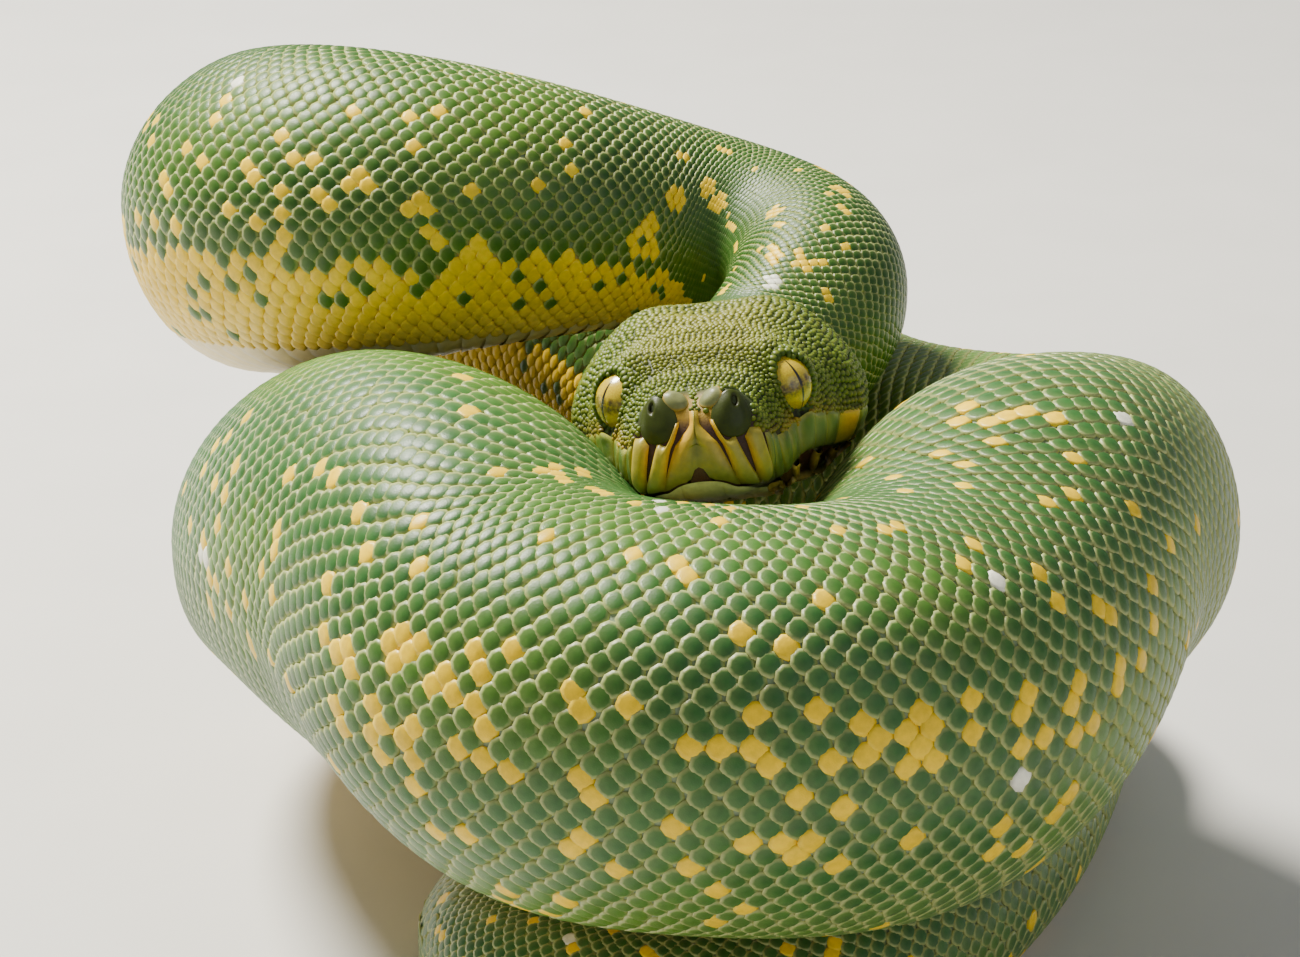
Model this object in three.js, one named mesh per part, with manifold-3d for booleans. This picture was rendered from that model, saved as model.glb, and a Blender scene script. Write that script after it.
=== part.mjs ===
// A green tree python (Morelia viridis) at rest, life size. The body lies in three stacked turns
// with the head in the middle, its chin on the front of the middle turn.
// Millimetres, +Z up, the head faces -Y. The origin is on the floor under the middle of the coil.
import * as THREE from "three";
import { mergeVertices } from "three/addons/utils/BufferGeometryUtils.js";
import Module from "manifold-3d";

const wasm = await Module();
wasm.setup();

// ---------------------------------------------------------------- driving dimensions
const CLEARANCE = 0.3; // gap between parts that touch
const RING_SIDES = 20; // facets round the body
const RING_STEP = 5.2; // spacing of the facet rings along the body
const FLOOR_PRESS = 0.95; // resting height of the spine, as a share of the half width
const WELD = 1e-4; // corners closer than this are one corner
const TANGENT_STEP = 0.5; // distance each way over which the spine's direction is read
const CUTTER_SIZE = 80; // tools that trim the head are wider than it is

// Control points of the spine's smooth curve, from the head to the tail: [x, y, height].
const NECK = [
  [12, 61, 78],
  [17, 72, 75],
  [25, 82, 84],
  [23, 97, 85],
];
const UPPER_TURN = [
  [6, 108, 86],
  [-28, 93, 96],
  [-58, 111, 90],
  [-60, 138, 80],
  [-36, 156, 71],
];
const MIDDLE_TURN = [
  [6, 136, 63],
  [25, 104, 42],
  [66, 64, 57],
  [50, 37, 67],
  [45, 25, 62],
  [36, 3, 57],
  [9, -8, 60],
  [-19, 6, 58],
  [-25, 31, 66],
  [-47, 71, 53],
];
const GROUND_TURN = [
  [-49, 102, 38],
  [-24, 133, 14],
  [12, 155, 16],
  [54, 119, 14],
  [64, 98, 12],
  [37, 17, 9],
  [-8, -1, 8],
];
const TAIL_CURL = [
  [-30, 38, 5],
  [-16, 64, 3],
  [5, 62, 2],
  [10, 53, 1],
];
const SPINE = [...NECK, ...UPPER_TURN, ...MIDDLE_TURN, ...GROUND_TURN, ...TAIL_CURL];

// Half width of the body at shares of its length, from the neck to the tip of the tail.
const GIRTH = [
  [0.0, 12.2],
  [0.045, 13.2],
  [0.135, 22.0],
  [0.34, 22.6],
  [0.4, 26.4],
  [0.52, 26.4],
  [0.575, 22.6],
  [0.7, 17.8],
  [0.8, 13.7],
  [0.9, 11.0],
  [0.97, 5.6],
  [1.0, 1.8],
];
// How far the back leans out of the coil at shares of its length, in degrees.
const LEAN = [
  [0.0, 0],
  [0.17, 0],
  [0.3, 18],
  [0.35, 30],
  [0.4, 36],
  [0.45, 46],
  [0.48, 36],
  [0.51, 14],
  [0.56, 3],
  [0.64, 0],
  [1.0, 0],
];
// Cross-section at shares of the length: rise of the back and drop of the belly from the widest
// level, as shares of the half width, and the belly's squareness, which under 1 flattens it.
const SECTION = [
  [0.0, 1.0, 1.0, 0.85],
  [0.05, 1.0, 1.02, 0.85],
  [0.11, 0.95, 1.22, 1.0],
  [0.18, 0.95, 1.22, 1.0],
  [0.27, 1.0, 1.0, 0.8],
  [0.4, 1.0, 1.05, 0.8],
  [0.45, 1.0, 1.2, 0.9],
  [0.5, 1.0, 1.2, 0.9],
  [0.56, 1.0, 1.0, 0.8],
  [1.0, 1.0, 1.0, 0.8],
];
const RIDGE_HEIGHT = 0.035; // rise of the ridge along the back, as a share of the half width
const RIDGE_SHARPNESS = 8;
const PEAR = 0.05; // how much wider the body is below its middle

const NECK_LENGTH = 56;
const TRUNK_LENGTHS = 12;
const TAIL_LENGTHS = 3;
const TAIL_SHARE = 0.84; // the tail starts at this share of the body's length

// Head: x is its right-hand side, y runs from the snout to the neck, z rises from the mouth line.
const SNOUT_TIP = [5.9, 14.0, 83.8];
const HEAD_YAW = 9;
const HEAD_PITCH = 12;
const HEAD_ROLL = 8;
const HEAD_SPAN = 58; // length of the head's form before the neck cuts it
const SNOUT_ROUNDING = 0.075;
const NAPE_CLOSING = 0.94; // share of HEAD_SPAN where the form closes behind the neck's cut
const HEAD_SIDES = 44;
const HEAD_RINGS = 46;
// Shares of HEAD_SPAN against half width, top, level of the widest line, depth of the jaw.
const HEAD_STATIONS = [
  [0.0, 8.2, 9.4, 2.0, 2.8],
  [0.1, 9.2, 10.0, 2.0, 3.8],
  [0.2, 11.6, 12.4, 2.2, 4.8],
  [0.29, 13.8, 15.0, 3.0, 5.6],
  [0.42, 16.2, 16.8, 4.0, 6.6],
  [0.55, 18.6, 17.8, 4.6, 7.4],
  [0.66, 19.2, 18.2, 5.0, 7.8],
  [0.76, 16.8, 18.2, 5.4, 7.4],
  [0.85, 12.9, 17.8, 5.5, 6.8],
  [1.0, 12.2, 17.6, 5.5, 6.7],
];
const SNOUT_SQUARENESS = 0.7;
const NAPE_SQUARENESS = 1.0;
const ROUND_SHARE = 0.55; // the head's section is an ellipse from here back
const JAW_INSET = 0.95; // width of the lower jaw against the upper one
const MOUTH_END = 41;
const MOUTH_ARCH = 2.2; // rise of the mouth line at the tip of the snout
const MOUTH_ARCH_REACH = 4.5;
const MOUTH_STEPS = 24; // facets of the cut along the mouth line

const EYE_RADIUS = 4.3;
const EYE_CENTRE = [10.0, 16.4, 9.4];
const EYE_RIM_RADIUS = 4.6;
const EYE_RIM_WIDTH = 1.3;
const EYE_RIM_RISE = 0.7;
const EYE_FACETS = [20, 14];

// Forms raised or sunk on both sides of the head: centre, reach and rise in millimetres.
const HEAD_FORMS = {
  nasalPad: { at: [4.0, 3.6, 11.0], reach: 3.1, rise: [0.8, -1.3, 2.3] },
  grooveBetweenPads: { at: [0, 3.0, 10.4], reach: 2.2, rise: [0, 0.9, -1.1] },
  brow: { at: [9.0, 16.8, 15.0], reach: 4.0, rise: [0.9, -0.2, 0.9] },
  hollowBeforeEye: { at: [9.4, 10.0, 7.6], reach: 3.4, rise: [-0.9, 0, -0.2] },
  crownSwelling: { at: [7.4, 36, 17.0], reach: 7.5, rise: [0.5, 0, 2.0] },
  crownGroove: { at: [0, 36, 18.6], reach: 4.5, rise: [0, 0, -1.4] },
  cheek: { at: [18.0, 35, 4.0], reach: 8.0, rise: [0.9, 0, 0] },
};

// Heat pits and nostrils: centre on the skin, radius.
const NOSTRIL = { at: [6.7, 4.6, 10.8], radius: 0.75 };
const UPPER_PITS = [
  { at: [2.3, -0.4, 5.4], radius: 0.85 },
  { at: [5.2, 0.9, 4.4], radius: 0.95 },
  { at: [7.6, 3.0, 3.6], radius: 0.9 },
];
const LOWER_PIT_START = 21;
const LOWER_PIT_END = 37;
const LOWER_PIT_COUNT = 5;
const LOWER_PIT_RADIUS = 1.0;
const LOWER_PIT_LEVEL = -2.4;
const LOWER_PIT_DEPTH = 0.6; // centre of a pit inside the skin
const PIT_FACETS = [10, 7];

const SCALE_GREEN = { color: 0x4f8a4a, roughness: 0.42, metalness: 0 };
const HEAD_GREEN = { color: 0x6f8f34, roughness: 0.45, metalness: 0 };
const JAW_YELLOW = { color: 0xc9b24a, roughness: 0.45, metalness: 0 };
const EYE_GOLD = { color: 0xbfa53a, roughness: 0.08, metalness: 0 };

// ---------------------------------------------------------------- small helpers
const radians = THREE.MathUtils.degToRad;
const clamp = THREE.MathUtils.clamp;

/** Value of a table of [share, value, ...] rows at a share, eased between the rows. */
function eased(table, share, column = 1) {
  const last = table.length - 2;
  let row = 0;
  while (row < last && share > table[row + 1][0]) row += 1;
  const span = table[row + 1][0] - table[row][0];
  const step = clamp((share - table[row][0]) / span, 0, 1);
  const ease = step * step * (3 - 2 * step);
  return THREE.MathUtils.lerp(table[row][column], table[row + 1][column], ease);
}

/** A closed three.js geometry with only merged positions, as a manifold solid. */
function toSolid(geometry) {
  const bare = geometry.clone();
  bare.deleteAttribute("normal");
  bare.deleteAttribute("uv");
  const merged = mergeVertices(bare, WELD);
  const vertProperties = new Float32Array(merged.attributes.position.array);
  const triVerts = new Uint32Array(merged.index.array);
  const mesh = new wasm.Mesh({ numProp: 3, vertProperties, triVerts });
  mesh.merge();
  return new wasm.Manifold(mesh);
}

/** The largest closed surface of a solid, as a three.js geometry. */
function toGeometry(solid) {
  const pieces = solid.decompose();
  pieces.sort((a, b) => b.volume() - a.volume());
  const mesh = pieces[0].getMesh();
  const geometry = new THREE.BufferGeometry();
  geometry.setAttribute("position", new THREE.BufferAttribute(mesh.vertProperties, mesh.numProp));
  geometry.setIndex(new THREE.BufferAttribute(mesh.triVerts, 1));
  geometry.computeVertexNormals();
  return geometry;
}

/** Moves every vertex of a geometry by a function of its position. */
function reshape(geometry, place) {
  const position = geometry.attributes.position;
  const vertex = new THREE.Vector3();
  for (let index = 0; index < position.count; index += 1) {
    vertex.fromBufferAttribute(position, index);
    const moved = place(vertex);
    position.setXYZ(index, moved.x, moved.y, moved.z);
  }
  geometry.deleteAttribute("normal");
  geometry.deleteAttribute("uv");
  const merged = mergeVertices(geometry, WELD);
  merged.computeVertexNormals();
  return merged;
}

function namedMesh(name, geometry, finish) {
  const mesh = new THREE.Mesh(geometry, new THREE.MeshStandardMaterial(finish));
  mesh.name = name;
  return mesh;
}

// ---------------------------------------------------------------- the spine
const controls = SPINE.map((row) => new THREE.Vector3(...row));

function controlPoint(index) {
  const last = controls.length - 1;
  if (index < 0) return controls[0].clone().multiplyScalar(2).sub(controls[1]);
  if (index > last) return controls[last].clone().multiplyScalar(2).sub(controls[last - 1]);
  return controls[index];
}

/** Point of the uniform cubic B-spline through the control points' neighbourhood. */
function splinePoint(parameter) {
  const first = Math.min(Math.floor(parameter), controls.length - 2);
  const u = parameter - first;
  const weights = [
    (1 - u) ** 3 / 6,
    (3 * u ** 3 - 6 * u ** 2 + 4) / 6,
    (-3 * u ** 3 + 3 * u ** 2 + 3 * u + 1) / 6,
    u ** 3 / 6,
  ];
  const point = new THREE.Vector3();
  weights.forEach((weight, step) => point.addScaledVector(controlPoint(first - 1 + step), weight));
  return point;
}

const SPLINE_SAMPLES = 3000;
const sampleParameters = [];
const sampleDistances = [];
let previousPoint = splinePoint(0);
let travelled = 0;
for (let sample = 0; sample <= SPLINE_SAMPLES; sample += 1) {
  const parameter = (sample / SPLINE_SAMPLES) * (controls.length - 1);
  const point = splinePoint(parameter);
  travelled += point.distanceTo(previousPoint);
  previousPoint = point;
  sampleParameters.push(parameter);
  sampleDistances.push(travelled);
}
const BODY_LENGTH = travelled;

function parameterAt(distance) {
  const wanted = clamp(distance, 0, BODY_LENGTH);
  let low = 0;
  let high = SPLINE_SAMPLES;
  while (high - low > 1) {
    const middle = (low + high) >> 1;
    if (sampleDistances[middle] < wanted) low = middle;
    else high = middle;
  }
  const share = (wanted - sampleDistances[low]) / (sampleDistances[high] - sampleDistances[low]);
  return THREE.MathUtils.lerp(sampleParameters[low], sampleParameters[high], share);
}

/** Frame of the body at a distance from the neck: centre, direction, back and outer side. */
function bodyFrame(distance) {
  const share = distance / BODY_LENGTH;
  const halfWidth = eased(GIRTH, share);
  const centre = splinePoint(parameterAt(distance));
  centre.z = Math.max(centre.z, FLOOR_PRESS * halfWidth);
  const ahead = splinePoint(parameterAt(distance + TANGENT_STEP));
  const along = ahead.sub(splinePoint(parameterAt(distance - TANGENT_STEP))).normalize();
  const back = new THREE.Vector3(0, 0, 1).addScaledVector(along, -along.z).normalize();
  back.applyAxisAngle(along, -radians(eased(LEAN, share)));
  const outer = new THREE.Vector3().crossVectors(back, along);
  return { share, centre, along, back, outer, halfWidth };
}

/** Cross-section of the body for a half width of one: angle 0 is the back, pi is the belly. */
function bodySection(share, angle) {
  const [back, belly, squareness] = [1, 2, 3].map((column) => eased(SECTION, share, column));
  const rise = Math.cos(angle);
  const side = Math.sin(angle) * (1 - PEAR * rise);
  if (rise < 0) return { side, up: -belly * Math.abs(rise) ** squareness };
  return { side, up: back * rise + RIDGE_HEIGHT * rise ** RIDGE_SHARPNESS };
}

/** One length of the body between two distances, closed by flat faces set back by half the gap. */
function bodyLength(start, end) {
  const rings = Math.max(2, Math.round((end - start) / RING_STEP));
  const cylinder = new THREE.CylinderGeometry(1, 1, 1, RING_SIDES, rings);
  return reshape(cylinder, (vertex) => {
    const frame = bodyFrame(THREE.MathUtils.lerp(start, end, 0.5 - vertex.y));
    const setBack = Math.abs(vertex.y) > 0.499 ? Math.sign(vertex.y) : 0;
    frame.centre.addScaledVector(frame.along, (setBack * CLEARANCE) / 2);
    const reach = Math.hypot(vertex.x, vertex.z) * frame.halfWidth;
    const { side, up } = bodySection(frame.share, Math.atan2(vertex.x, vertex.z));
    const point = frame.centre.clone();
    point.addScaledVector(frame.outer, side * reach);
    point.addScaledVector(frame.back, up * reach);
    point.z = Math.max(point.z, 0);
    return point;
  });
}

// ---------------------------------------------------------------- the head
const headAlong = new THREE.Vector3(
  Math.sin(radians(HEAD_YAW)) * Math.cos(radians(HEAD_PITCH)),
  Math.cos(radians(HEAD_YAW)) * Math.cos(radians(HEAD_PITCH)),
  -Math.sin(radians(HEAD_PITCH)),
);
const headSide = new THREE.Vector3(Math.cos(radians(HEAD_YAW)), -Math.sin(radians(HEAD_YAW)), 0);
headSide.applyAxisAngle(headAlong, -radians(HEAD_ROLL));
const headUp = new THREE.Vector3().crossVectors(headSide, headAlong);
const headToBody = new THREE.Matrix4().makeBasis(headSide, headAlong, headUp);
headToBody.setPosition(...SNOUT_TIP);

function mouthLevel(y) {
  return MOUTH_ARCH * Math.exp(-((y / MOUTH_ARCH_REACH) ** 2));
}

function signedPower(value, exponent) {
  return Math.sign(value) * Math.abs(value) ** exponent;
}

/** Skin of the head for a point of the unit sphere whose pole (0, 1, 0) is the snout. */
function headPoint(vertex, inset) {
  const share = clamp((1 - vertex.y) / 2, 0, 1);
  const blunt = Math.sqrt(1 - (1 - Math.min(share / SNOUT_ROUNDING, 1)) ** 2);
  const closing = Math.sqrt(1 - clamp((share - NAPE_CLOSING) / (1 - NAPE_CLOSING), 0, 1) ** 2);
  const fullness = blunt * closing;
  const [halfWidth, top, level, depth] = [1, 2, 3, 4].map((column) =>
    eased(HEAD_STATIONS, share, column),
  );
  const roundness = clamp(share / ROUND_SHARE, 0, 1);
  const squareness = THREE.MathUtils.lerp(SNOUT_SQUARENESS, NAPE_SQUARENESS, roundness);
  const angle = Math.atan2(vertex.x, vertex.z);
  const side = signedPower(Math.sin(angle), squareness);
  const rise = signedPower(Math.cos(angle), squareness);
  const span = rise > 0 ? top - level : level + depth;
  const onAxis = Math.hypot(vertex.x, vertex.z) < 1e-6 ? 0 : 1;
  const point = new THREE.Vector3(
    -side * halfWidth * inset * fullness * onAxis,
    share * HEAD_SPAN,
    level + rise * span * fullness * onAxis,
  );
  return raiseForms(point);
}

/** Adds the pads, brows, swellings and eye rims to a point of the head's skin. */
function raiseForms(point) {
  const moved = point.clone();
  for (const form of Object.values(HEAD_FORMS)) {
    for (const mirror of form.at[0] === 0 ? [1] : [1, -1]) {
      const centre = new THREE.Vector3(form.at[0] * mirror, form.at[1], form.at[2]);
      const weight = Math.exp(-((point.distanceTo(centre) / form.reach) ** 2));
      moved.x += form.rise[0] * mirror * weight;
      moved.y += form.rise[1] * weight;
      moved.z += form.rise[2] * weight;
    }
  }
  for (const mirror of [1, -1]) {
    const centre = new THREE.Vector3(EYE_CENTRE[0] * mirror, EYE_CENTRE[1], EYE_CENTRE[2]);
    const away = point.clone().sub(centre);
    const distance = away.length();
    const rim = Math.exp(-(((distance - EYE_RIM_RADIUS) / EYE_RIM_WIDTH) ** 2));
    moved.addScaledVector(away.divideScalar(distance), rim * EYE_RIM_RISE);
  }
  return moved;
}

function headForm(inset) {
  const sphere = new THREE.SphereGeometry(1, HEAD_SIDES, HEAD_RINGS);
  return toSolid(reshape(sphere, (vertex) => headPoint(vertex, inset)));
}

/** Everything under the mouth line and before the jaw's corner, moved up and back by a margin. */
function underMouth(margin) {
  const box = new THREE.BoxGeometry(1, 1, 1, 1, MOUTH_STEPS, 1);
  return toSolid(
    reshape(box, (vertex) => {
      const y = THREE.MathUtils.lerp(-2 * MOUTH_ARCH_REACH, MOUTH_END + margin, vertex.y + 0.5);
      const z = vertex.z > 0 ? mouthLevel(y) + margin : -CUTTER_SIZE / 2;
      return new THREE.Vector3(vertex.x * CUTTER_SIZE, y, z);
    }),
  );
}

function ball(centre, radius, mirror, facets) {
  const sphere = new THREE.SphereGeometry(radius, ...facets);
  sphere.translate(centre[0] * mirror, centre[1], centre[2]);
  return toSolid(sphere);
}

/** Places of the heat pits along one side of the lower jaw. */
function lowerPits() {
  const pits = [];
  for (let index = 0; index < LOWER_PIT_COUNT; index += 1) {
    const y = THREE.MathUtils.lerp(LOWER_PIT_START, LOWER_PIT_END, index / (LOWER_PIT_COUNT - 1));
    const x = eased(HEAD_STATIONS, y / HEAD_SPAN, 1) * JAW_INSET - LOWER_PIT_DEPTH;
    pits.push({ at: [x, y, LOWER_PIT_LEVEL], radius: LOWER_PIT_RADIUS });
  }
  return pits;
}

/** The half space behind the neck's first face, so that the head ends flat against it. */
function behindNeck() {
  const frame = bodyFrame(0);
  const box = new THREE.BoxGeometry(CUTTER_SIZE, CUTTER_SIZE / 2, CUTTER_SIZE);
  box.translate(0, CUTTER_SIZE / 4 - CLEARANCE / 2, 0);
  const basis = new THREE.Matrix4().makeBasis(frame.outer.clone().negate(), frame.along, frame.back);
  basis.setPosition(frame.centre);
  box.applyMatrix4(basis);
  return toSolid(box);
}

function inPlace(solid) {
  return solid.transform(headToBody.elements);
}

function makeHead() {
  let head = headForm(1).subtract(underMouth(CLEARANCE / 2));
  for (const mirror of [1, -1]) {
    head = head.subtract(ball(EYE_CENTRE, EYE_RADIUS + CLEARANCE, mirror, EYE_FACETS));
    head = head.subtract(ball(NOSTRIL.at, NOSTRIL.radius, mirror, PIT_FACETS));
    for (const pit of UPPER_PITS) {
      head = head.subtract(ball(pit.at, pit.radius, mirror, PIT_FACETS));
    }
  }
  head = inPlace(head).subtract(behindNeck());
  return namedMesh("head", toGeometry(head), HEAD_GREEN);
}

function makeLowerJaw() {
  let jaw = headForm(JAW_INSET).intersect(underMouth(-CLEARANCE / 2));
  for (const mirror of [1, -1]) {
    for (const pit of lowerPits()) {
      jaw = jaw.subtract(ball(pit.at, pit.radius, mirror, PIT_FACETS));
    }
  }
  return namedMesh("lower_jaw", toGeometry(inPlace(jaw)), JAW_YELLOW);
}

function makeEye(name, mirror) {
  const sphere = new THREE.SphereGeometry(EYE_RADIUS, ...EYE_FACETS);
  const centre = new THREE.Vector3(EYE_CENTRE[0] * mirror, EYE_CENTRE[1], EYE_CENTRE[2]);
  centre.applyMatrix4(headToBody);
  const eye = namedMesh(name, reshape(sphere, (vertex) => vertex.clone()), EYE_GOLD);
  eye.position.copy(centre);
  return eye;
}

// ---------------------------------------------------------------- the whole snake
const snake = new THREE.Group();
snake.add(makeHead(), makeLowerJaw(), makeEye("eye_left", -1), makeEye("eye_right", 1));

function addLengths(prefix, start, end, count) {
  for (let index = 0; index < count; index += 1) {
    const from = THREE.MathUtils.lerp(start, end, index / count);
    const to = THREE.MathUtils.lerp(start, end, (index + 1) / count);
    const name = count === 1 ? prefix : `${prefix}_${String(index + 1).padStart(2, "0")}`;
    snake.add(namedMesh(name, bodyLength(from, to), SCALE_GREEN));
  }
}
const tailStart = BODY_LENGTH * TAIL_SHARE;
addLengths("neck", 0, NECK_LENGTH, 1);
addLengths("trunk", NECK_LENGTH, tailStart, TRUNK_LENGTHS);
addLengths("tail", tailStart, BODY_LENGTH, TAIL_LENGTHS);

snake.updateMatrixWorld(true);
const middle = new THREE.Box3().setFromObject(snake, true).getCenter(new THREE.Vector3());
snake.position.set(-middle.x, -middle.y, 0);

export default snake;
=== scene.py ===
"""Looks of a coiled green tree python at rest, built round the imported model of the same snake.

One skin closes over the head, neck, trunk and tail. Solid scales lie on it: rounded diamonds on the
body, wide scutes on the belly, beads on the head, plates along the lips and pads on the nose.
Shapes are worked out in millimetres in the part's own frame and placed in metres.
"""

from __future__ import annotations

import logging
import math
from dataclasses import dataclass, fields
from enum import Enum, IntEnum

import bpy
import numpy as np
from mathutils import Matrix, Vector

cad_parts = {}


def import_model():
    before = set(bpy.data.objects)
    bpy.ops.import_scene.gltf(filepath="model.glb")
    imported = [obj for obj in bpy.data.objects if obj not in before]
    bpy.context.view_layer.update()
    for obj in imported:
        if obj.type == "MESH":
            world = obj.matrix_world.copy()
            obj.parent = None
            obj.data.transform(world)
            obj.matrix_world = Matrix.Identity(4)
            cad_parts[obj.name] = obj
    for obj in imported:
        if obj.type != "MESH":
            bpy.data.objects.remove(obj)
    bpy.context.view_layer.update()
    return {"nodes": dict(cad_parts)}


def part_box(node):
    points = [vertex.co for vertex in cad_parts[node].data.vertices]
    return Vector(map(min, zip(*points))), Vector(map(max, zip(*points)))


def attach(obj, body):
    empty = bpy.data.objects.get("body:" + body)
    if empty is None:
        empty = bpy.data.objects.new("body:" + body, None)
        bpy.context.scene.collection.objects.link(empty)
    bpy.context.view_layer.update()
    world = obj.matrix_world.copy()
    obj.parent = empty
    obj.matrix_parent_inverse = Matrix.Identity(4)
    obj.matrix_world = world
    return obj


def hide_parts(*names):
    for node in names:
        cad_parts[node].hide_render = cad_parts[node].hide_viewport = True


LOG = logging.getLogger("python_scene")
Array = np.ndarray
Piece = bpy.types.Object
Mesh = bpy.types.Mesh
Material = bpy.types.Material
Socket = bpy.types.NodeSocket
Pair = tuple[float, float]
Triple = tuple[float, float, float]

MM = 0.001
TINT = "tint"
LENS = "lens"
BAKE_MAP = "OFBake"
# Width of one scale's patch on the bake map.
PATCH = 0.003

# Control points of the spine's smooth curve, from the head to the tail: x, y, height.
NECK_TURN = ((10, 61.5, 76.5), (15.5, 72, 74.5), (25, 82, 84), (23, 97, 85))
UPPER_TURN = ((6, 108, 86), (-28, 93, 96), (-58, 111, 90), (-60, 138, 80), (-36, 156, 71))
MIDDLE_TURN = (
    (6, 136, 63), (25, 104, 42), (66, 64, 57), (50, 37, 67), (45, 25, 62),
    (36, 3, 57), (9, -8, 60), (-19, 6, 58), (-25, 31, 66), (-47, 71, 53),
)
GROUND_TURN = (
    (-49, 102, 38), (-24, 133, 14), (12, 155, 16), (54, 119, 14), (64, 98, 12), (37, 17, 9),
    (-8, -1, 8),
)
TAIL_CURL = ((-30, 38, 5), (-16, 64, 3), (5, 62, 2), (10, 53, 1))

# Half width of the body at shares of its length.
GIRTH = (
    (0.0, 12.2), (0.045, 13.2), (0.135, 22.0), (0.34, 22.6), (0.4, 26.4), (0.52, 26.4),
    (0.575, 22.6), (0.7, 17.8), (0.8, 13.7), (0.9, 11.0), (0.97, 5.6), (1.0, 1.8),
)
# How far the back leans out of the coil, in degrees, at shares of the length.
LEAN = (
    (0.0, 0), (0.17, 0), (0.3, 18), (0.35, 30), (0.4, 36), (0.45, 46), (0.48, 36), (0.51, 14),
    (0.56, 3), (0.64, 0), (1.0, 0),
)
# Shares of the length: rise of the back, drop of the belly and the belly's squareness.
SECTION = (
    (0.0, 1.0, 1.0, 0.85), (0.05, 1.0, 1.02, 0.85), (0.11, 0.95, 1.22, 1.0),
    (0.18, 0.95, 1.22, 1.0), (0.27, 1.0, 1.0, 0.8), (0.4, 1.0, 1.05, 0.8),
    (0.45, 1.0, 1.2, 0.9), (0.5, 1.0, 1.2, 0.9), (0.56, 1.0, 1.0, 0.8), (1.0, 1.0, 1.0, 0.8),
)
# Shares of the head's span: half width, top, level of the widest line, depth of the jaw.
HEAD_STATIONS = (
    (0.0, 8.2, 9.4, 2.0, 2.8), (0.1, 9.2, 10.0, 2.0, 3.8), (0.2, 11.6, 12.4, 2.2, 4.8),
    (0.29, 13.8, 15.0, 3.0, 5.6), (0.42, 16.2, 16.8, 4.0, 6.6), (0.55, 18.8, 17.9, 4.6, 7.4),
    (0.66, 19.2, 18.5, 5.0, 7.8), (0.76, 16.9, 18.0, 5.4, 7.4), (0.85, 12.9, 17.8, 5.5, 6.8),
    (1.0, 12.2, 17.6, 5.5, 6.7),
)
# Height of the mouth line at distances behind the snout, with its arch at the front.
MOUTH_LINE = (
    (0, 0.5), (0.3, -0.9), (1.0, -2.1), (2.4, -2.5), (5.5, -2.7), (9.0, -2.6), (12.5, -1.0),
    (15, -0.1), (20, -0.4), (27, -1.1), (34, -1.2), (41, -0.6), (60, 0),
)


class Seed(IntEnum):
    """Start of each random draw."""

    BLOTCHES = 20
    TONE = 21
    FINE_TONE = 22
    LONE_SCALES = 23
    SCALE_PLACES = 24
    BEAD_PLACES = 25
    BEAD_SIZES = 26


class Side(IntEnum):
    """A side of the head as the viewer sees it, and the sign of x on it."""

    RIGHT = 1
    LEFT = -1

    def named(self, piece: str) -> str:
        """A piece's name with its side."""
        return f"{piece}_{self.name.lower()}"


class Slot(Enum):
    """Names of the material slots."""

    BODY = "body_skin"
    HEAD = "head_skin"
    JAW = "jaw_skin"
    EYE = "eye"


# ---------------------------------------------------------------- numbers and directions
def smooth(step: Array) -> Array:
    """Eases a value between 0 and 1, and holds it there outside."""
    step = np.clip(step, 0, 1)
    return step * step * (3 - 2 * step)


@dataclass(frozen=True)
class Rise:
    """An eased rise from 0 to 1: where it starts and how wide it is."""

    start: float
    width: float

    def at(self, values: Array) -> Array:
        """The rise at some values."""
        return smooth((values - self.start) / self.width)


def eased(rows: tuple, share: Array, column: int = 1) -> Array:
    """Values of a table of shares at some shares, eased between its rows.

    Args:
        rows: Table whose first column is the share.
        share: Shares to read it at.
        column: Column to read.

    Returns:
        One value for each share.
    """
    rows = np.asarray(rows, float)
    edges = rows[:, 0]
    row = np.clip(np.searchsorted(edges, share, side="right") - 1, 0, len(rows) - 2)
    step = np.clip((share - edges[row]) / (edges[row + 1] - edges[row]), 0, 1)
    return rows[row, column] + (rows[row + 1, column] - rows[row, column]) * smooth(step)


def unit(vectors: Array) -> Array:
    """Vectors scaled to length one."""
    return vectors / np.maximum(np.linalg.norm(vectors, axis=-1, keepdims=True), 1e-12)


def turned(vectors: Array, axes: Array, angles: Array) -> Array:
    """Turns vectors about unit axes.

    Args:
        vectors: Vectors to turn, one a row.
        axes: Unit axes, one a row.
        angles: Angles in radians.

    Returns:
        The turned vectors.
    """
    cosine, sine = np.cos(angles)[..., None], np.sin(angles)[..., None]
    shadow = np.sum(axes * vectors, axis=-1, keepdims=True)
    return vectors * cosine + np.cross(axes, vectors) * sine + axes * shadow * (1 - cosine)


def signed_power(values: Array, exponent: Array) -> Array:
    """Raises the size of each value to a power and keeps its sign."""
    return np.sign(values) * np.abs(values) ** exponent


def bell(distance: Array, width: float, power: int = 2) -> Array:
    """One at no distance, falling to nothing past a width, the steeper the higher the power."""
    return np.exp(-((distance / width) ** power))


def mixed(first: Array, second: Array, share: Array) -> Array:
    """Blends two arrays of colours, by a share for each row."""
    return first + (second - first) * np.asarray(share)[..., None]


def travelled(points: Array) -> Array:
    """Distance along a line of points, 0 at the first."""
    steps = np.linalg.norm(np.diff(points, axis=0), axis=1)
    return np.concatenate([[0], np.cumsum(steps)])


def counted(fine: Array, density: Array) -> Array:
    """How many rows lie before each of some evenly spaced stations."""
    total = np.concatenate([[0], np.cumsum((density[1:] + density[:-1]) / 2)])
    return total * (fine[1] - fine[0])


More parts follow.
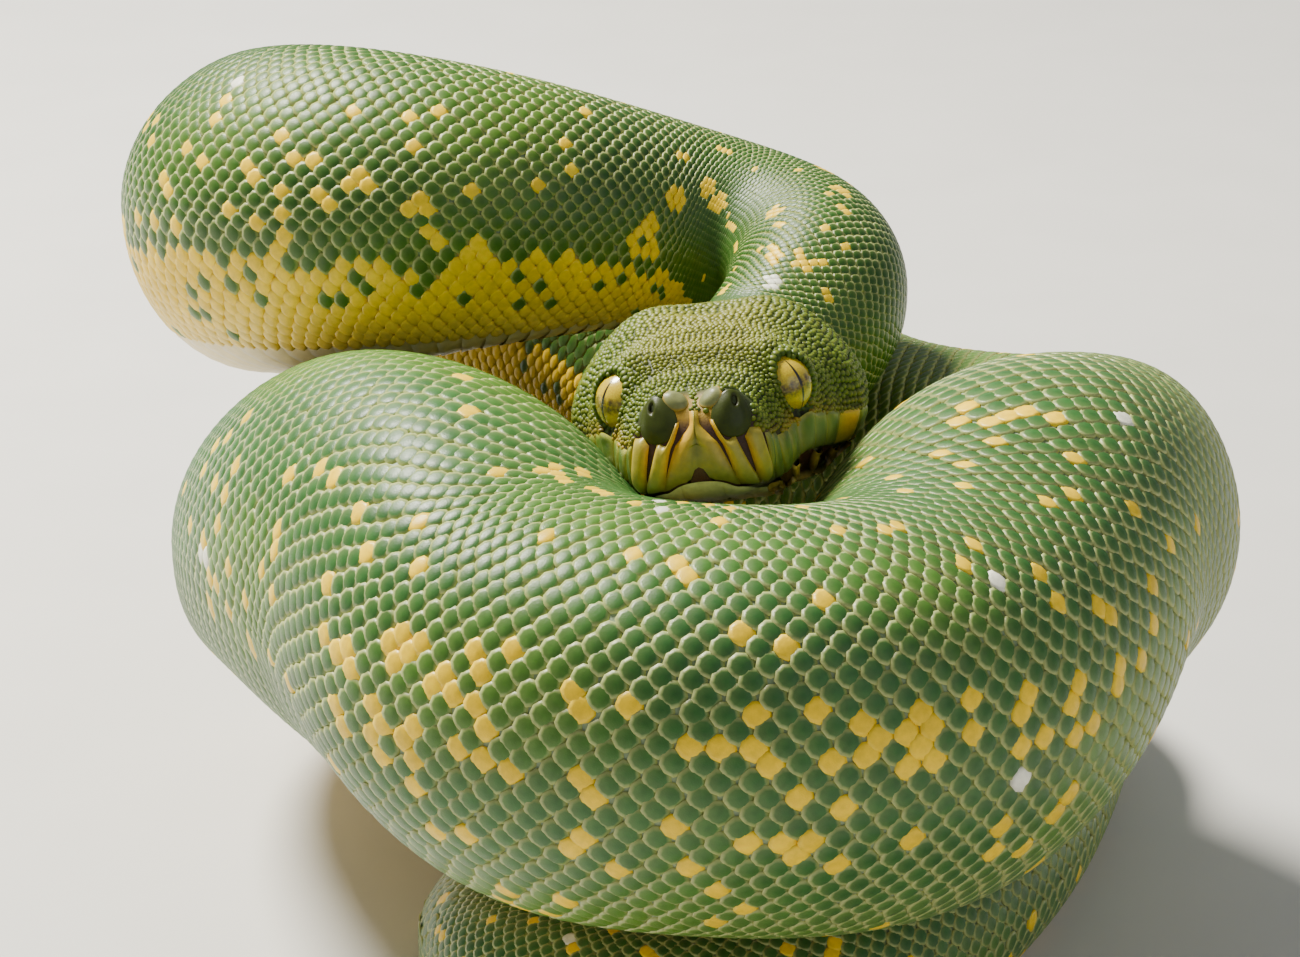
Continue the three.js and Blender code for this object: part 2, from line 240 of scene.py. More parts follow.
@dataclass(frozen=True)
class Tint:
    """A colour given by its display values from 0 to 255."""

    red: int
    green: int
    blue: int

    def linear(self) -> Array:
        """The colour as linear light."""
        display = np.array([self.red, self.green, self.blue]) / 255
        return np.where(display <= 0.04045, display / 12.92, ((display + 0.055) / 1.055) ** 2.4)


@dataclass(frozen=True)
class Palette:
    """Every colour of the snake's skin and scales, with painted highlights and shade among them."""

    back_green: Tint = Tint(38, 80, 20)
    coil_green: Tint = Tint(46, 94, 38)
    leaf_green: Tint = Tint(90, 130, 28)
    # Pale scale margin, partly real and partly a painted highlight where light catches the raised
    # free edge.
    rim: Tint = Tint(180, 186, 116)
    between: Tint = Tint(130, 148, 116)
    yellow: Tint = Tint(244, 202, 0)
    yellow_rim: Tint = Tint(238, 202, 40)
    yellow_between: Tint = Tint(190, 160, 96)
    white: Tint = Tint(236, 234, 214)
    belly: Tint = Tint(232, 208, 132)
    belly_edge: Tint = Tint(236, 222, 204)
    crown: Tint = Tint(66, 94, 2)
    # Painted highlight on the top of the crown.
    crown_highlight: Tint = Tint(134, 126, 40)
    crown_deep: Tint = Tint(48, 60, 10)
    # Painted highlight on each bead's top.
    bead_rim: Tint = Tint(200, 188, 66)
    # Painted shade on the lower sides of the head.
    cheek: Tint = Tint(36, 56, 6)
    lip_yellow: Tint = Tint(222, 166, 14)
    lip_pale: Tint = Tint(172, 158, 52)
    lip_green: Tint = Tint(72, 100, 30)
    lip_edge: Tint = Tint(170, 164, 60)
    lip_grey: Tint = Tint(104, 112, 54)
    jaw: Tint = Tint(204, 202, 136)
    jaw_cream: Tint = Tint(206, 172, 70)
    # Dark tint painted as shade in the pits, the slots between the front lip plates, the nostrils
    # and the mouth's crease.
    pit: Tint = Tint(62, 28, 20)
    seam: Tint = Tint(156, 122, 4)
    pad: Tint = Tint(50, 60, 4)
    pad_inner: Tint = Tint(124, 128, 82)
    # Painted shade on the skin just beside each eyeball.
    lid: Tint = Tint(34, 26, 10)


PALETTE = Palette()


# ---------------------------------------------------------------- the snake's form
@dataclass
class BodyForm:
    """Skin of the body round a smooth spine, as a function of distance and angle.

    Angle 0 is the back and pi the belly. Distances and points are in millimetres.
    """

    floor_press: float = 0.95
    tangent_step: float = 0.5
    ridge_height: float = 0.035
    ridge_sharpness: int = 8
    pear: float = 0.05
    samples: int = 3000

    def __post_init__(self) -> None:
        """Measures the spine along its whole length."""
        turns = NECK_TURN + UPPER_TURN + MIDDLE_TURN + GROUND_TURN + TAIL_CURL
        controls = np.array(turns, float)
        first = 2 * controls[0] - controls[1]
        last = 2 * controls[-1] - controls[-2]
        self.controls = np.vstack([first, controls, last])
        self.spans = len(controls) - 1
        self.parameters = np.linspace(0, self.spans, self.samples + 1)
        self.distances = travelled(self.curve(self.parameters))
        self.length = float(self.distances[-1])

    def curve(self, parameter: Array) -> Array:
        """Points of the spine's uniform cubic B-spline."""
        first = np.minimum(np.floor(parameter).astype(int), self.spans - 1)
        u = parameter - first
        weights = (
            (1 - u) ** 3 / 6,
            (3 * u**3 - 6 * u**2 + 4) / 6,
            (-3 * u**3 + 3 * u**2 + 3 * u + 1) / 6,
            u**3 / 6,
        )
        return sum(w[..., None] * self.controls[first + step] for step, w in enumerate(weights))

    def centre(self, distance: Array) -> Array:
        """Points of the spine at some distances from the neck."""
        return self.curve(np.interp(distance, self.distances, self.parameters))

    def half_width(self, distance: Array) -> Array:
        """Half width of the body at some distances."""
        return eased(GIRTH, distance / self.length)

    def point(self, distance: Array, angle: Array) -> Array:
        """Points of the body's surface.

        Args:
            distance: Distances from the neck along the spine.
            angle: Angles round the body.

        Returns:
            One point for each pair, in the source's own frame.
        """
        share = distance / self.length
        half = self.half_width(distance)
        centre = self.centre(distance)
        centre[..., 2] = np.maximum(centre[..., 2], self.floor_press * half)
        ahead = self.centre(distance + self.tangent_step)
        along = unit(ahead - self.centre(distance - self.tangent_step))
        back = unit(np.array([0.0, 0.0, 1.0]) - along * along[..., 2:3])
        back = turned(back, along, -np.radians(eased(LEAN, share)))
        outer = np.cross(back, along)
        top, belly, squareness = (eased(SECTION, share, column) for column in (1, 2, 3))
        rise = np.cos(angle)
        side = np.sin(angle) * (1 - self.pear * rise)
        ridge = self.ridge_height * np.maximum(rise, 0) ** self.ridge_sharpness
        up = np.where(rise < 0, -belly * np.abs(rise) ** squareness, top * rise + ridge)
        return centre + (outer * side[..., None] + back * up[..., None]) * half[..., None]


@dataclass(frozen=True)
class Swelling:
    """A form raised or sunk on the head, on both sides unless it lies in the middle."""

    at: Triple
    reach: float
    rise: Triple


@dataclass
class HeadForm:
    """Skin of the head as a function of the distance behind the snout and an angle.

    In the head's own frame x is to the viewer's right, y runs from the snout to the neck and z
    rises from the mouth line.
    """

    tip: Triple = (6.2, 14.0, 83.8)
    yaw: float = 6.0
    pitch: float = 14.5
    roll: float = 8.0
    span: float = 58.0
    snout_rounding: float = 0.075
    snout_squareness: float = 0.7
    round_share: float = 0.55
    jaw_inset: float = 0.05
    jaw_step: float = 0.06
    jaw_fade: float = 4.0
    mouth_end: float = 41.0
    steepest_drop: float = 0.99
    eye_centre: Triple = (10.0, 17.2, 8.6)
    eye_radius: float = 4.3
    rim_radius: float = 4.6
    rim_width: float = 1.3
    rim_rise: float = 0.7
    # Nostril pads, groove between them, brows, hollows before the eyes, crown, its furrow, cheeks.
    swellings: tuple[Swelling, ...] = (
        Swelling((4.2, 3.6, 10.4), 3.1, (0.5, -1.0, 1.4)),
        Swelling((0, 3.0, 10.2), 2.0, (0, 0.6, -0.8)),
        Swelling((9.4, 17.4, 14.2), 4.0, (1.1, -0.2, 1.0)),
        Swelling((9.6, 10.6, 6.8), 3.4, (-0.9, 0, -0.2)),
        Swelling((9.0, 36, 17.0), 7.5, (0.5, 0, 1.5)),
        Swelling((0, 35, 18.6), 5.0, (0, 0, -1.6)),
        Swelling((18.0, 35, 4.0), 8.0, (0.9, 0, 0)),
    )

    def __post_init__(self) -> None:
        """Works out the head's directions in the source's frame."""
        yaw, pitch, roll = (math.radians(a) for a in (self.yaw, self.pitch, self.roll))
        flat = math.cos(pitch)
        self.along = np.array([math.sin(yaw) * flat, math.cos(yaw) * flat, -math.sin(pitch)])
        side = np.array([math.cos(yaw), -math.sin(yaw), 0.0])
        self.side = turned(side, self.along, np.array(-roll))
        self.up = np.cross(self.side, self.along)

    def mouth_level(self, y: Array) -> Array:
        """Height of the mouth line at distances behind the snout."""
        return eased(MOUTH_LINE, np.asarray(y, float))

    def sections(self, y: Array) -> tuple[Array, Array, Array, Array, Array, Array]:
        """Sizes of the head's sections."""
        share = y / self.span
        blunt = np.sqrt(1 - (1 - np.clip(share / self.snout_rounding, 0, 1)) ** 2)
        half, top, level, depth = (eased(HEAD_STATIONS, share, c) for c in (1, 2, 3, 4))
        roundness = np.clip(share / self.round_share, 0, 1)
        squareness = self.snout_squareness + (1 - self.snout_squareness) * roundness
        return half, top, level, depth, blunt, squareness

    def mouth_angle(self, y: Array) -> Array:
        """Angle at which the surface crosses the mouth line."""
        _, _, level, depth, blunt, squareness = self.sections(y)
        drop = (level - self.mouth_level(y)) / ((level + depth) * blunt + 1e-6)
        drop = np.clip(drop, -self.steepest_drop, self.steepest_drop)
        return np.arccos(-signed_power(drop, 1 / squareness))

    def local(self, y: Array, angle: Array) -> Array:
        """Points of the head's surface in its own frame.

        Args:
            y: Distances behind the snout.
            angle: Angles round the head, 0 at the crown.

        Returns:
            One point for each pair.
        """
        y = np.maximum(y, 0)
        half, top, level, depth, blunt, squareness = self.sections(y)
        side = signed_power(np.sin(angle), squareness)
        rise = signed_power(np.cos(angle), squareness)
        span = np.where(rise > 0, top - level, level + depth)
        below = smooth((np.abs(angle) - self.mouth_angle(y)) / self.jaw_step)
        below = below * smooth((self.mouth_end + 1 - y) / self.jaw_fade)
        inset = 1 - self.jaw_inset * below
        x = -side * half * inset * blunt
        z = level + rise * span * blunt
        return self.raised(np.stack(np.broadcast_arrays(x, y, z), axis=-1))

    def raised(self, points: Array) -> Array:
        """Adds the swellings and the eye rims to points of the surface.

        Args:
            points: Points in the head's own frame.

        Returns:
            The moved points.
        """
        moved = points.copy()
        for form in self.swellings:
            for side in (Side.RIGHT,) if form.at[0] == 0 else Side:
                flip = np.array([side, 1, 1])
                away = np.linalg.norm(points - np.array(form.at) * flip, axis=-1)
                moved += bell(away, form.reach)[..., None] * np.array(form.rise) * flip
        for side in Side:
            away = points - np.array(self.eye_centre) * (side, 1, 1)
            distance = np.linalg.norm(away, axis=-1)
            rim = bell(distance - self.rim_radius, self.rim_width) * self.rim_rise
            moved += unit(away) * rim[..., None]
        return moved

    def direction(self, local: Array) -> Array:
        """Directions of the head's own frame in the source's frame."""
        return np.asarray(local, float) @ np.stack([self.side, self.along, self.up])

    def world(self, local: Array) -> Array:
        """Points of the head's own frame in the source's frame."""
        return np.array(self.tip) + self.direction(local)


@dataclass
class Spots:
    """Places on the snake with their surface's directions and stretch."""

    station: Array
    angle: Array
    place: Array
    along: Array
    around: Array
    normal: Array
    along_stretch: Array
    around_stretch: Array

    def picked(self, mask: Array) -> Spots:
        """The places that a mask keeps."""
        return Spots(*(getattr(self, field.name)[mask] for field in fields(self)))

    def joined(self, more: Spots) -> Spots:
        """These places and more after them."""
        pairs = ((getattr(self, field.name), getattr(more, field.name)) for field in fields(self))
        return Spots(*(np.concatenate(pair) for pair in pairs))


@dataclass
class SnakeForm:
    """The whole surface, head and body joined, as a function of station and angle.

    A station is a distance in millimetres from the snout backwards.
    """

    head_reach: float = 44.0
    body_start: float = 7.0
    neck_row: int = 7
    probe: float = 0.05
    slope_step: float = 0.4
    full_width: float = 22.0

    def __post_init__(self) -> None:
        """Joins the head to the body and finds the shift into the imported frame."""
        self.head = HeadForm()
        self.body = BodyForm()
        level = HEAD_STATIONS[self.neck_row][3]
        ring = self.head.world([0, self.head_reach, level])
        start = self.body.centre(np.array([self.body_start]))[0]
        self.join = float(np.linalg.norm(start - ring))
        self.head_end = self.head_reach + self.join
        self.body_offset = self.head_end - self.body_start
        self.end = self.body_offset + self.body.length
        low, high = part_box("eye_right")
        packed = np.array((low + high) / 2) / MM
        self.shift = packed - self.head.world(self.head.eye_centre)
        self.shift[2] = 0

    def share(self, station: Array) -> Array:
        """Shares of the body's length at some stations."""
        return (station - self.body_offset) / self.body.length

    def half_width(self, station: Array) -> Array:
        """Half width of the body at some stations, with the neck's held over the head."""
        return self.body.half_width(np.maximum(station - self.body_offset, 0))

    def growth(self, station: Array, least: float, most: float) -> Array:
        """Size of the scales at some stations, 1 on a full-grown part of the body."""
        return np.clip(self.half_width(station) / self.full_width, least, most)

    def head_places(self, spots: Spots) -> tuple[Array, Array, Array]:
        """Where places lie on the head."""
        y = np.clip(spots.station, 0, self.head_reach)
        local = self.head.local(y, spots.angle)
        return y, local, local[:, 2] - self.head.mouth_level(y)

    def point(self, station: Array, angle: Array) -> Array:
        """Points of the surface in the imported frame, in millimetres.

        Args:
            station: Stations of the points.
            angle: Angles round the snake, 0 on the back.

        Returns:
            One point for each pair.
        """
        station, angle = np.broadcast_arrays(np.asarray(station, float), np.asarray(angle, float))
        points = np.empty(station.shape + (3,))
        head = station <= self.head_reach
        body = station >= self.head_end
        between = ~head & ~body
        points[head] = self.head.world(self.head.local(station[head], angle[head]))
        points[body] = self.body.point(station[body] - self.body_offset, angle[body])
        if between.any():
            points[between] = self.joining(station[between], angle[between])
        return points + self.shift

    def joining(self, station: Array, angle: Array) -> Array:
        """Points of the smooth join between the back of the head and the neck.

        Args:
            station: Stations of the points.
            angle: Angles round the snake.

        Returns:
            One point for each pair, in the source's own frame.
        """
        step = self.slope_step
        reach = np.full(station.shape, self.head_reach)
        start = np.full(station.shape, self.body_start)
        first = self.head.world(self.head.local(reach, angle))
        first_slope = (first - self.head.world(self.head.local(reach - step, angle))) / step
        last = self.body.point(start, angle)
        last_slope = (self.body.point(start + step, angle) - last) / step
        u = ((station - self.head_reach) / self.join)[..., None]
        return (
            (2 * u**3 - 3 * u**2 + 1) * first
            + (u**3 - 2 * u**2 + u) * self.join * first_slope
            + (-2 * u**3 + 3 * u**2) * last
            + (u**3 - u**2) * self.join * last_slope
        )

    def spots(self, station: Array, angle: Array) -> Spots:
        """Places of the surface with their directions and stretch.

        Args:
            station: Stations of the places.
            angle: Angles of the places.

        Returns:
            The places, each with its unit directions and the millimetres that a step covers.
        """
        turn = self.probe / self.half_width(station)
        place = self.point(station, angle)
        ahead = self.point(station + self.probe, angle) - self.point(station - self.probe, angle)
        beside = self.point(station, angle + turn) - self.point(station, angle - turn)
        normal, along = unit(np.cross(ahead, beside)), unit(ahead)
        along_stretch = np.linalg.norm(ahead, axis=-1) / (2 * self.probe)
        around_stretch = np.linalg.norm(beside, axis=-1) / (2 * turn)
        around = np.cross(normal, along)
        return Spots(station, angle, place, along, around, normal, along_stretch, around_stretch)


# ---------------------------------------------------------------- the view
@dataclass(frozen=True)
class ViewCamera:
    """The camera, level across and tilted down, with the view's size in its own points."""

    width: int = 1300
    height: int = 957
    focal: float = 3952.0
    tilt: float = 22.0
    behind: float = -446.0
    above: float = 269.2
    sensor: float = 36.0
    nearest: float = 0.01
    farthest: float = 20.0

    def place(self, shift: Array) -> Array:
        """The camera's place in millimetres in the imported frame."""
        return np.array([0.0, self.behind, self.above]) + shift

    def axes(self) -> tuple[Array, Array, Array]:
        """Directions to the right, up and forward."""
        tilt = math.radians(self.tilt)
        up = np.array([0, math.sin(tilt), math.cos(tilt)])
        forward = np.array([0, math.cos(tilt), -math.sin(tilt)])
        return np.array([1.0, 0, 0]), up, forward

    def seen(self, points: Array, shift: Array) -> tuple[Array, Array]:
        """Where points fall in the view."""
        right, up, forward = self.axes()
        away = points - self.place(shift)
        depth = away @ forward
        across = self.width / 2 + self.focal * (away @ right) / depth
        down = self.height / 2 - self.focal * (away @ up) / depth
        return np.stack([across, down], axis=-1), depth

    def build(self, shift: Array) -> None:
        """Adds the camera and makes it the scene's own.

        Args:
            shift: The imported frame's shift.
        """
        data = bpy.data.cameras.new("view_camera")
        data.sensor_fit = "HORIZONTAL"
        data.sensor_width = self.sensor
        data.lens = self.focal * self.sensor / self.width
        data.clip_start, data.clip_end = self.nearest, self.farthest
        camera = bpy.data.objects.new("view_camera", data)
        camera.location = Vector(self.place(shift) * MM)
        camera.rotation_euler = (math.radians(90 - self.tilt), 0, 0)
        bpy.context.scene.collection.objects.link(camera)
        bpy.context.scene.camera = camera


@dataclass(frozen=True)
class Blotch:
    """A group of coloured scales: where the view shows its middle and how far it reaches."""

    x: int
    y: int
    reach: int


# Coloured blotches: across and down in the view, and reach.
YELLOW_ON_FRONT = (
    (920, 735, 26), (920, 721, 20), (911, 764, 13), (922, 748, 14), (745, 635, 16), (357, 547, 14),
    (331, 592, 12), (830, 597, 13), (975, 540, 16), (1073, 457, 14), (277, 530, 14),
    (258, 573, 10), (347, 640, 12), (400, 654, 12), (396, 650, 12), (385, 659, 9), (415, 639, 8),
    (472, 654, 12), (482, 676, 12), (583, 697, 13), (594, 719, 13), (630, 696, 13), (683, 742, 16),
    (760, 752, 14), (771, 766, 13), (1041, 576, 10), (1050, 600, 12), (600, 490, 14),
    (565, 478, 11), (581, 469, 12), (546, 471, 9), (1017, 715, 9), (1032, 691, 9), (1034, 740, 9),
    (1050, 729, 9), (1076, 740, 9), (871, 738, 13), (877, 754, 12), (848, 797, 14), (1079, 707, 8),
    (1089, 682, 8), (1118, 676, 7), (1126, 666, 7), (1138, 660, 7), (213, 445, 8), (227, 431, 9),
    (243, 416, 9), (238, 459, 8), (195, 473, 7), (210, 483, 7), (226, 494, 8), (176, 445, 6),
    (174, 487, 6), (289, 475, 9), (316, 465, 8), (330, 473, 8), (219, 524, 9), (279, 550, 9),
    (417, 562, 9), (356, 522, 6), (225, 565, 8), (201, 542, 6), (210, 576, 6), (246, 596, 8),
    (266, 595, 9), (217, 586, 6), (227, 609, 7), (210, 611, 6), (314, 629, 7), (409, 635, 8),
    (465, 406, 10), (467, 382, 9), (184, 530, 5), (350, 671, 7), (518, 652, 8), (430, 683, 10),
    (445, 675, 11), (453, 698, 11), (477, 709, 11), (486, 731, 11), (296, 692, 7), (339, 708, 8),
    (377, 703, 9), (348, 734, 11), (387, 722, 6), (377, 735, 7), (416, 729, 11), (403, 738, 9),
    (411, 757, 12), (391, 760, 8), (418, 784, 14), (461, 748, 6), (481, 761, 10), (503, 776, 12),
    (436, 833, 11), (329, 765, 6), (251, 643, 8), (268, 662, 8), (470, 845, 6), (683, 562, 7),
    (690, 574, 8), (787, 652, 8), (720, 761, 8), (834, 751, 8), (816, 721, 8), (771, 715, 9),
    (577, 785, 12), (589, 805, 11), (662, 827, 14), (587, 840, 12), (571, 854, 11), (689, 862, 10),
    (758, 837, 12), (783, 836, 10), (820, 836, 12), (801, 854, 14), (846, 864, 10), (856, 727, 8),
    (967, 563, 9), (965, 562, 10), (1114, 612, 8), (1095, 605, 6), (1149, 589, 5), (1157, 619, 5),
    (1104, 719, 8), (965, 734, 7), (969, 701, 8), (914, 842, 13), (1067, 799, 9), (1056, 815, 9),
    (1001, 829, 10), (997, 858, 9), (1024, 856, 9), (636, 502, 9), (683, 487, 9), (709, 495, 7),
    (732, 502, 8), (636, 546, 8), (832, 529, 9), (553, 534, 6), (840, 489, 7), (965, 396, 8),
    (965, 409, 8), (1003, 409, 8), (1024, 406, 9), (996, 421, 8), (1065, 415, 9), (960, 427, 7),
    (993, 438, 7), (945, 457, 8), (965, 468, 8), (968, 484, 9), (1071, 488, 8), (896, 478, 9),
    (905, 485, 9), (868, 462, 7), (1131, 512, 8), (1168, 549, 6), (1200, 529, 6), (889, 529, 5),
)
YELLOW_ON_UPPER = (
    (222, 117, 9), (192, 149, 9), (199, 159, 9), (274, 133, 10), (168, 182, 8), (172, 192, 9),
    (318, 159, 10), (243, 161, 8), (260, 175, 9), (222, 208, 10), (256, 216, 9), (278, 215, 9),
    (287, 242, 9), (181, 228, 8), (152, 224, 6), (136, 212, 6), (408, 145, 10), (318, 186, 6),
    (345, 187, 9), (370, 186, 9), (331, 199, 7), (360, 169, 6), (356, 112, 6), (405, 117, 9),
    (411, 199, 12), (403, 212, 9), (433, 228, 10), (446, 244, 11), (425, 215, 9), (476, 190, 10),
    (534, 181, 10), (224, 97, 7), (294, 159, 7), (440, 104, 7), (582, 112, 10), (571, 146, 9),
    (570, 174, 9), (575, 255, 11), (542, 276, 11), (645, 225, 12), (628, 238, 10), (643, 251, 12),
    (680, 195, 10), (687, 158, 7), (674, 295, 12), (726, 148, 7), (706, 186, 8), (717, 202, 9),
    (774, 212, 9), (781, 225, 8), (839, 193, 10), (842, 205, 9), (828, 230, 8), (847, 244, 8),
    (776, 248, 9), (774, 259, 9), (804, 262, 10), (736, 248, 6), (731, 228, 6), (826, 288, 8),
    (828, 263, 6), (725, 289, 8),
)
WHITE_BLOTCHES = (
    (662, 500, 13), (658, 507, 9), (238, 80, 9), (1001, 574, 10), (200, 555, 9), (1125, 412, 9),
    (1022, 789, 8), (773, 281, 8), (203, 562, 7),
)


@dataclass(frozen=True)
class LaidBlotch:
    """A blotch in its place on the body, in millimetres."""

    centre: Array
    station: float
    reach: float
    white: bool


@dataclass
class Markings:
    """Colours of the body, the same for the scales and the skin under them."""

    form: SnakeForm
    camera: ViewCamera
    spots: Spots
    facing_least: float = 0.05
    search: float = 16.0
    front_depth: float = 9.0
    view_foot: float = 0.9
    loose_count: int = 420
    loose_flank: float = 2.3
    loose_reach: Pair = (0.5, 2.5)
    loose_white: float = 0.04
    lone_share: float = 0.003
    wave_count: int = 5
    wave_stretch: Pair = (0.6, 1.5)
    wave_total: float = 3.2
    slow_wave: float = 38.0
    fine_wave: float = 9.0
    flank_start: float = 1.66
    flank_end: float = 2.05
    coil: Rise = Rise(0.3, 0.08)
    leaf_tone: Rise = Rise(-0.15, 1.1)
    leaf_flank: Rise = Rise(1.0, 1.0)
    upper_start: Rise = Rise(0.05, 0.03)
    upper_end: Rise = Rise(0.3, 0.05)
    pale_flank: Rise = Rise(1.95, 0.4)
    yellow_ground: Rise = Rise(0.1, 0.5)

    def __post_init__(self) -> None:
        """Finds where each blotch lies on the body."""
        view, depth = self.camera.seen(self.spots.place, self.form.shift)
        toward = unit(self.camera.place(self.form.shift) - self.spots.place)
        facing = np.sum(toward * self.spots.normal, axis=-1) > self.facing_least
        self.laid = self.named(view, depth, facing) + self.loose(view, facing)

    def named(self, view: Array, depth: Array, facing: Array) -> list[LaidBlotch]:
        """Lays the blotches that are named by their places in the view.

        Args:
            view: Where the scales fall in the view.
            depth: Their depths.
            facing: Which of them face the camera.

        Returns:
            The blotches.
        """
        laid = []
        groups = ((YELLOW_ON_FRONT + YELLOW_ON_UPPER, False), (WHITE_BLOTCHES, True))
        for group, white in groups:
            for blotch in (Blotch(*row) for row in group):
                away = np.linalg.norm(view - (blotch.x, blotch.y), axis=-1)
                near = np.flatnonzero(facing & (away < self.search))
                if len(near) == 0:
                    continue
                front = near[depth[near] < depth[near].min() + self.front_depth]
                best = front[np.argmin(away[front])]
                place, station = self.spots.place[best], self.spots.station[best]
                reach = blotch.reach * (depth[best] / self.camera.focal)
                laid.append(LaidBlotch(place, station, reach, white))
        return laid

    def loose(self, view: Array, facing: Array) -> list[LaidBlotch]:
        """Scatters small blotches over what the view doesn't show.

        Args:
            view: Where the scales fall in the view.
            facing: Which of them face the camera.

        Returns:
            The blotches.
        """
        inside = (view[:, 0] > 0) & (view[:, 0] < self.camera.width)
        inside &= (view[:, 1] > 0) & (view[:, 1] < self.camera.height * self.view_foot)
        upper = np.abs(self.spots.angle) < self.loose_flank
        hidden = np.flatnonzero(~(facing & inside) & upper)
        random = np.random.default_rng(Seed.BLOTCHES)
        laid = []
        for index in random.choice(hidden, self.loose_count, replace=False):
            place, station = self.spots.place[index], self.spots.station[index]
            reach = random.uniform(*self.loose_reach) * self.form.growth(station, 0.3, 1)
            laid.append(LaidBlotch(place, station, reach, random.random() < self.loose_white))
        return laid

    def blotched(self, place: Array, station: Array) -> tuple[Array, Array]:
        """Which places lie in a yellow or a white blotch."""
        yellow, white = np.zeros((2, len(place)), bool)
        for blotch in self.laid:
            near = np.flatnonzero(np.abs(station - blotch.station) < 3 * blotch.reach + 3)
            away = np.linalg.norm(place[near] - blotch.centre, axis=-1)
            (white if blotch.white else yellow)[near[away < blotch.reach]] = True
        return yellow, white

    def waves(self, place: Array, length: float, seed: Seed) -> Array:
        """Irregular variation between about -1 and 1 over space."""
        random = np.random.default_rng(seed)
        total = np.zeros(len(place))
        for _ in range(self.wave_count):
            direction = unit(random.normal(size=3))
            phase = random.uniform(0, 2 * math.pi)
            stretch = random.uniform(*self.wave_stretch)
            total += np.sin(place @ direction * (2 * math.pi / (length * stretch)) + phase)
        return total / self.wave_total

    def greens(self, place: Array, share: Array, angle: Array) -> Array:
        """Greens of the body, brighter in slow waves and down the flank."""
        tone = self.waves(place, self.slow_wave, Seed.TONE)
        own = mixed(PALETTE.back_green.linear(), PALETTE.coil_green.linear(), self.coil.at(share))
        leaf = self.leaf_tone.at(tone) * 0.55 + self.leaf_flank.at(angle) * 0.25
        return mixed(own, PALETTE.leaf_green.linear(), np.clip(leaf, 0, 1))

    def flank(self, share: Array, angle: Array, fine: Array) -> Array:
        """How many of the scales are yellow, none on the back and most on the flank."""
        upper = self.upper_start.at(share) * (1 - self.upper_end.at(share))
        start = self.flank_end - (self.flank_end - self.flank_start) * upper
        edge = smooth((angle - start + 0.1 * fine) / (0.3 - 0.16 * upper))
        return edge * (0.5 + 0.36 * upper) + 0.11 * upper * smooth((angle - start - 0.3) / 0.15)

    def base(self, spots: Spots) -> tuple[Array, Array, Array]:
        """Colours of scales at some places.

        Args:
            spots: Places on the snake.

        Returns:
            The middle, the rim (a pale margin, partly a painted highlight) and the skin between for
            each place.
        """
        count = len(spots.station)
        share, angle = self.form.share(spots.station), np.abs(spots.angle)
        fine = self.waves(spots.place, self.fine_wave, Seed.FINE_TONE)
        middle = self.greens(spots.place, share, angle)
        # The rim colour is partly a painted highlight on each scale's edge.
        rim = np.tile(PALETTE.rim.linear(), (count, 1))
        between = np.tile(PALETTE.between.linear(), (count, 1))
        flank = self.flank(share, angle, fine)
        yellow, white = self.blotched(spots.place, spots.station)
        random = np.random.default_rng(Seed.LONE_SCALES)
        yellow |= random.random(count) < np.maximum(flank, self.lone_share)
        pale = self.pale_flank.at(angle[yellow]) * 0.4
        middle[yellow] = mixed(PALETTE.yellow.linear(), PALETTE.belly.linear(), pale)
        rim[yellow] = PALETTE.yellow_rim.linear()
        middle[white] = rim[white] = PALETTE.white.linear()
        ground = self.yellow_ground.at(flank)
        between = mixed(between, PALETTE.yellow_between.linear(), ground)
        shade = 1 + 0.16 * (random.random(count) - 0.5) + 0.08 * fine
        return middle * shade[:, None], rim, between


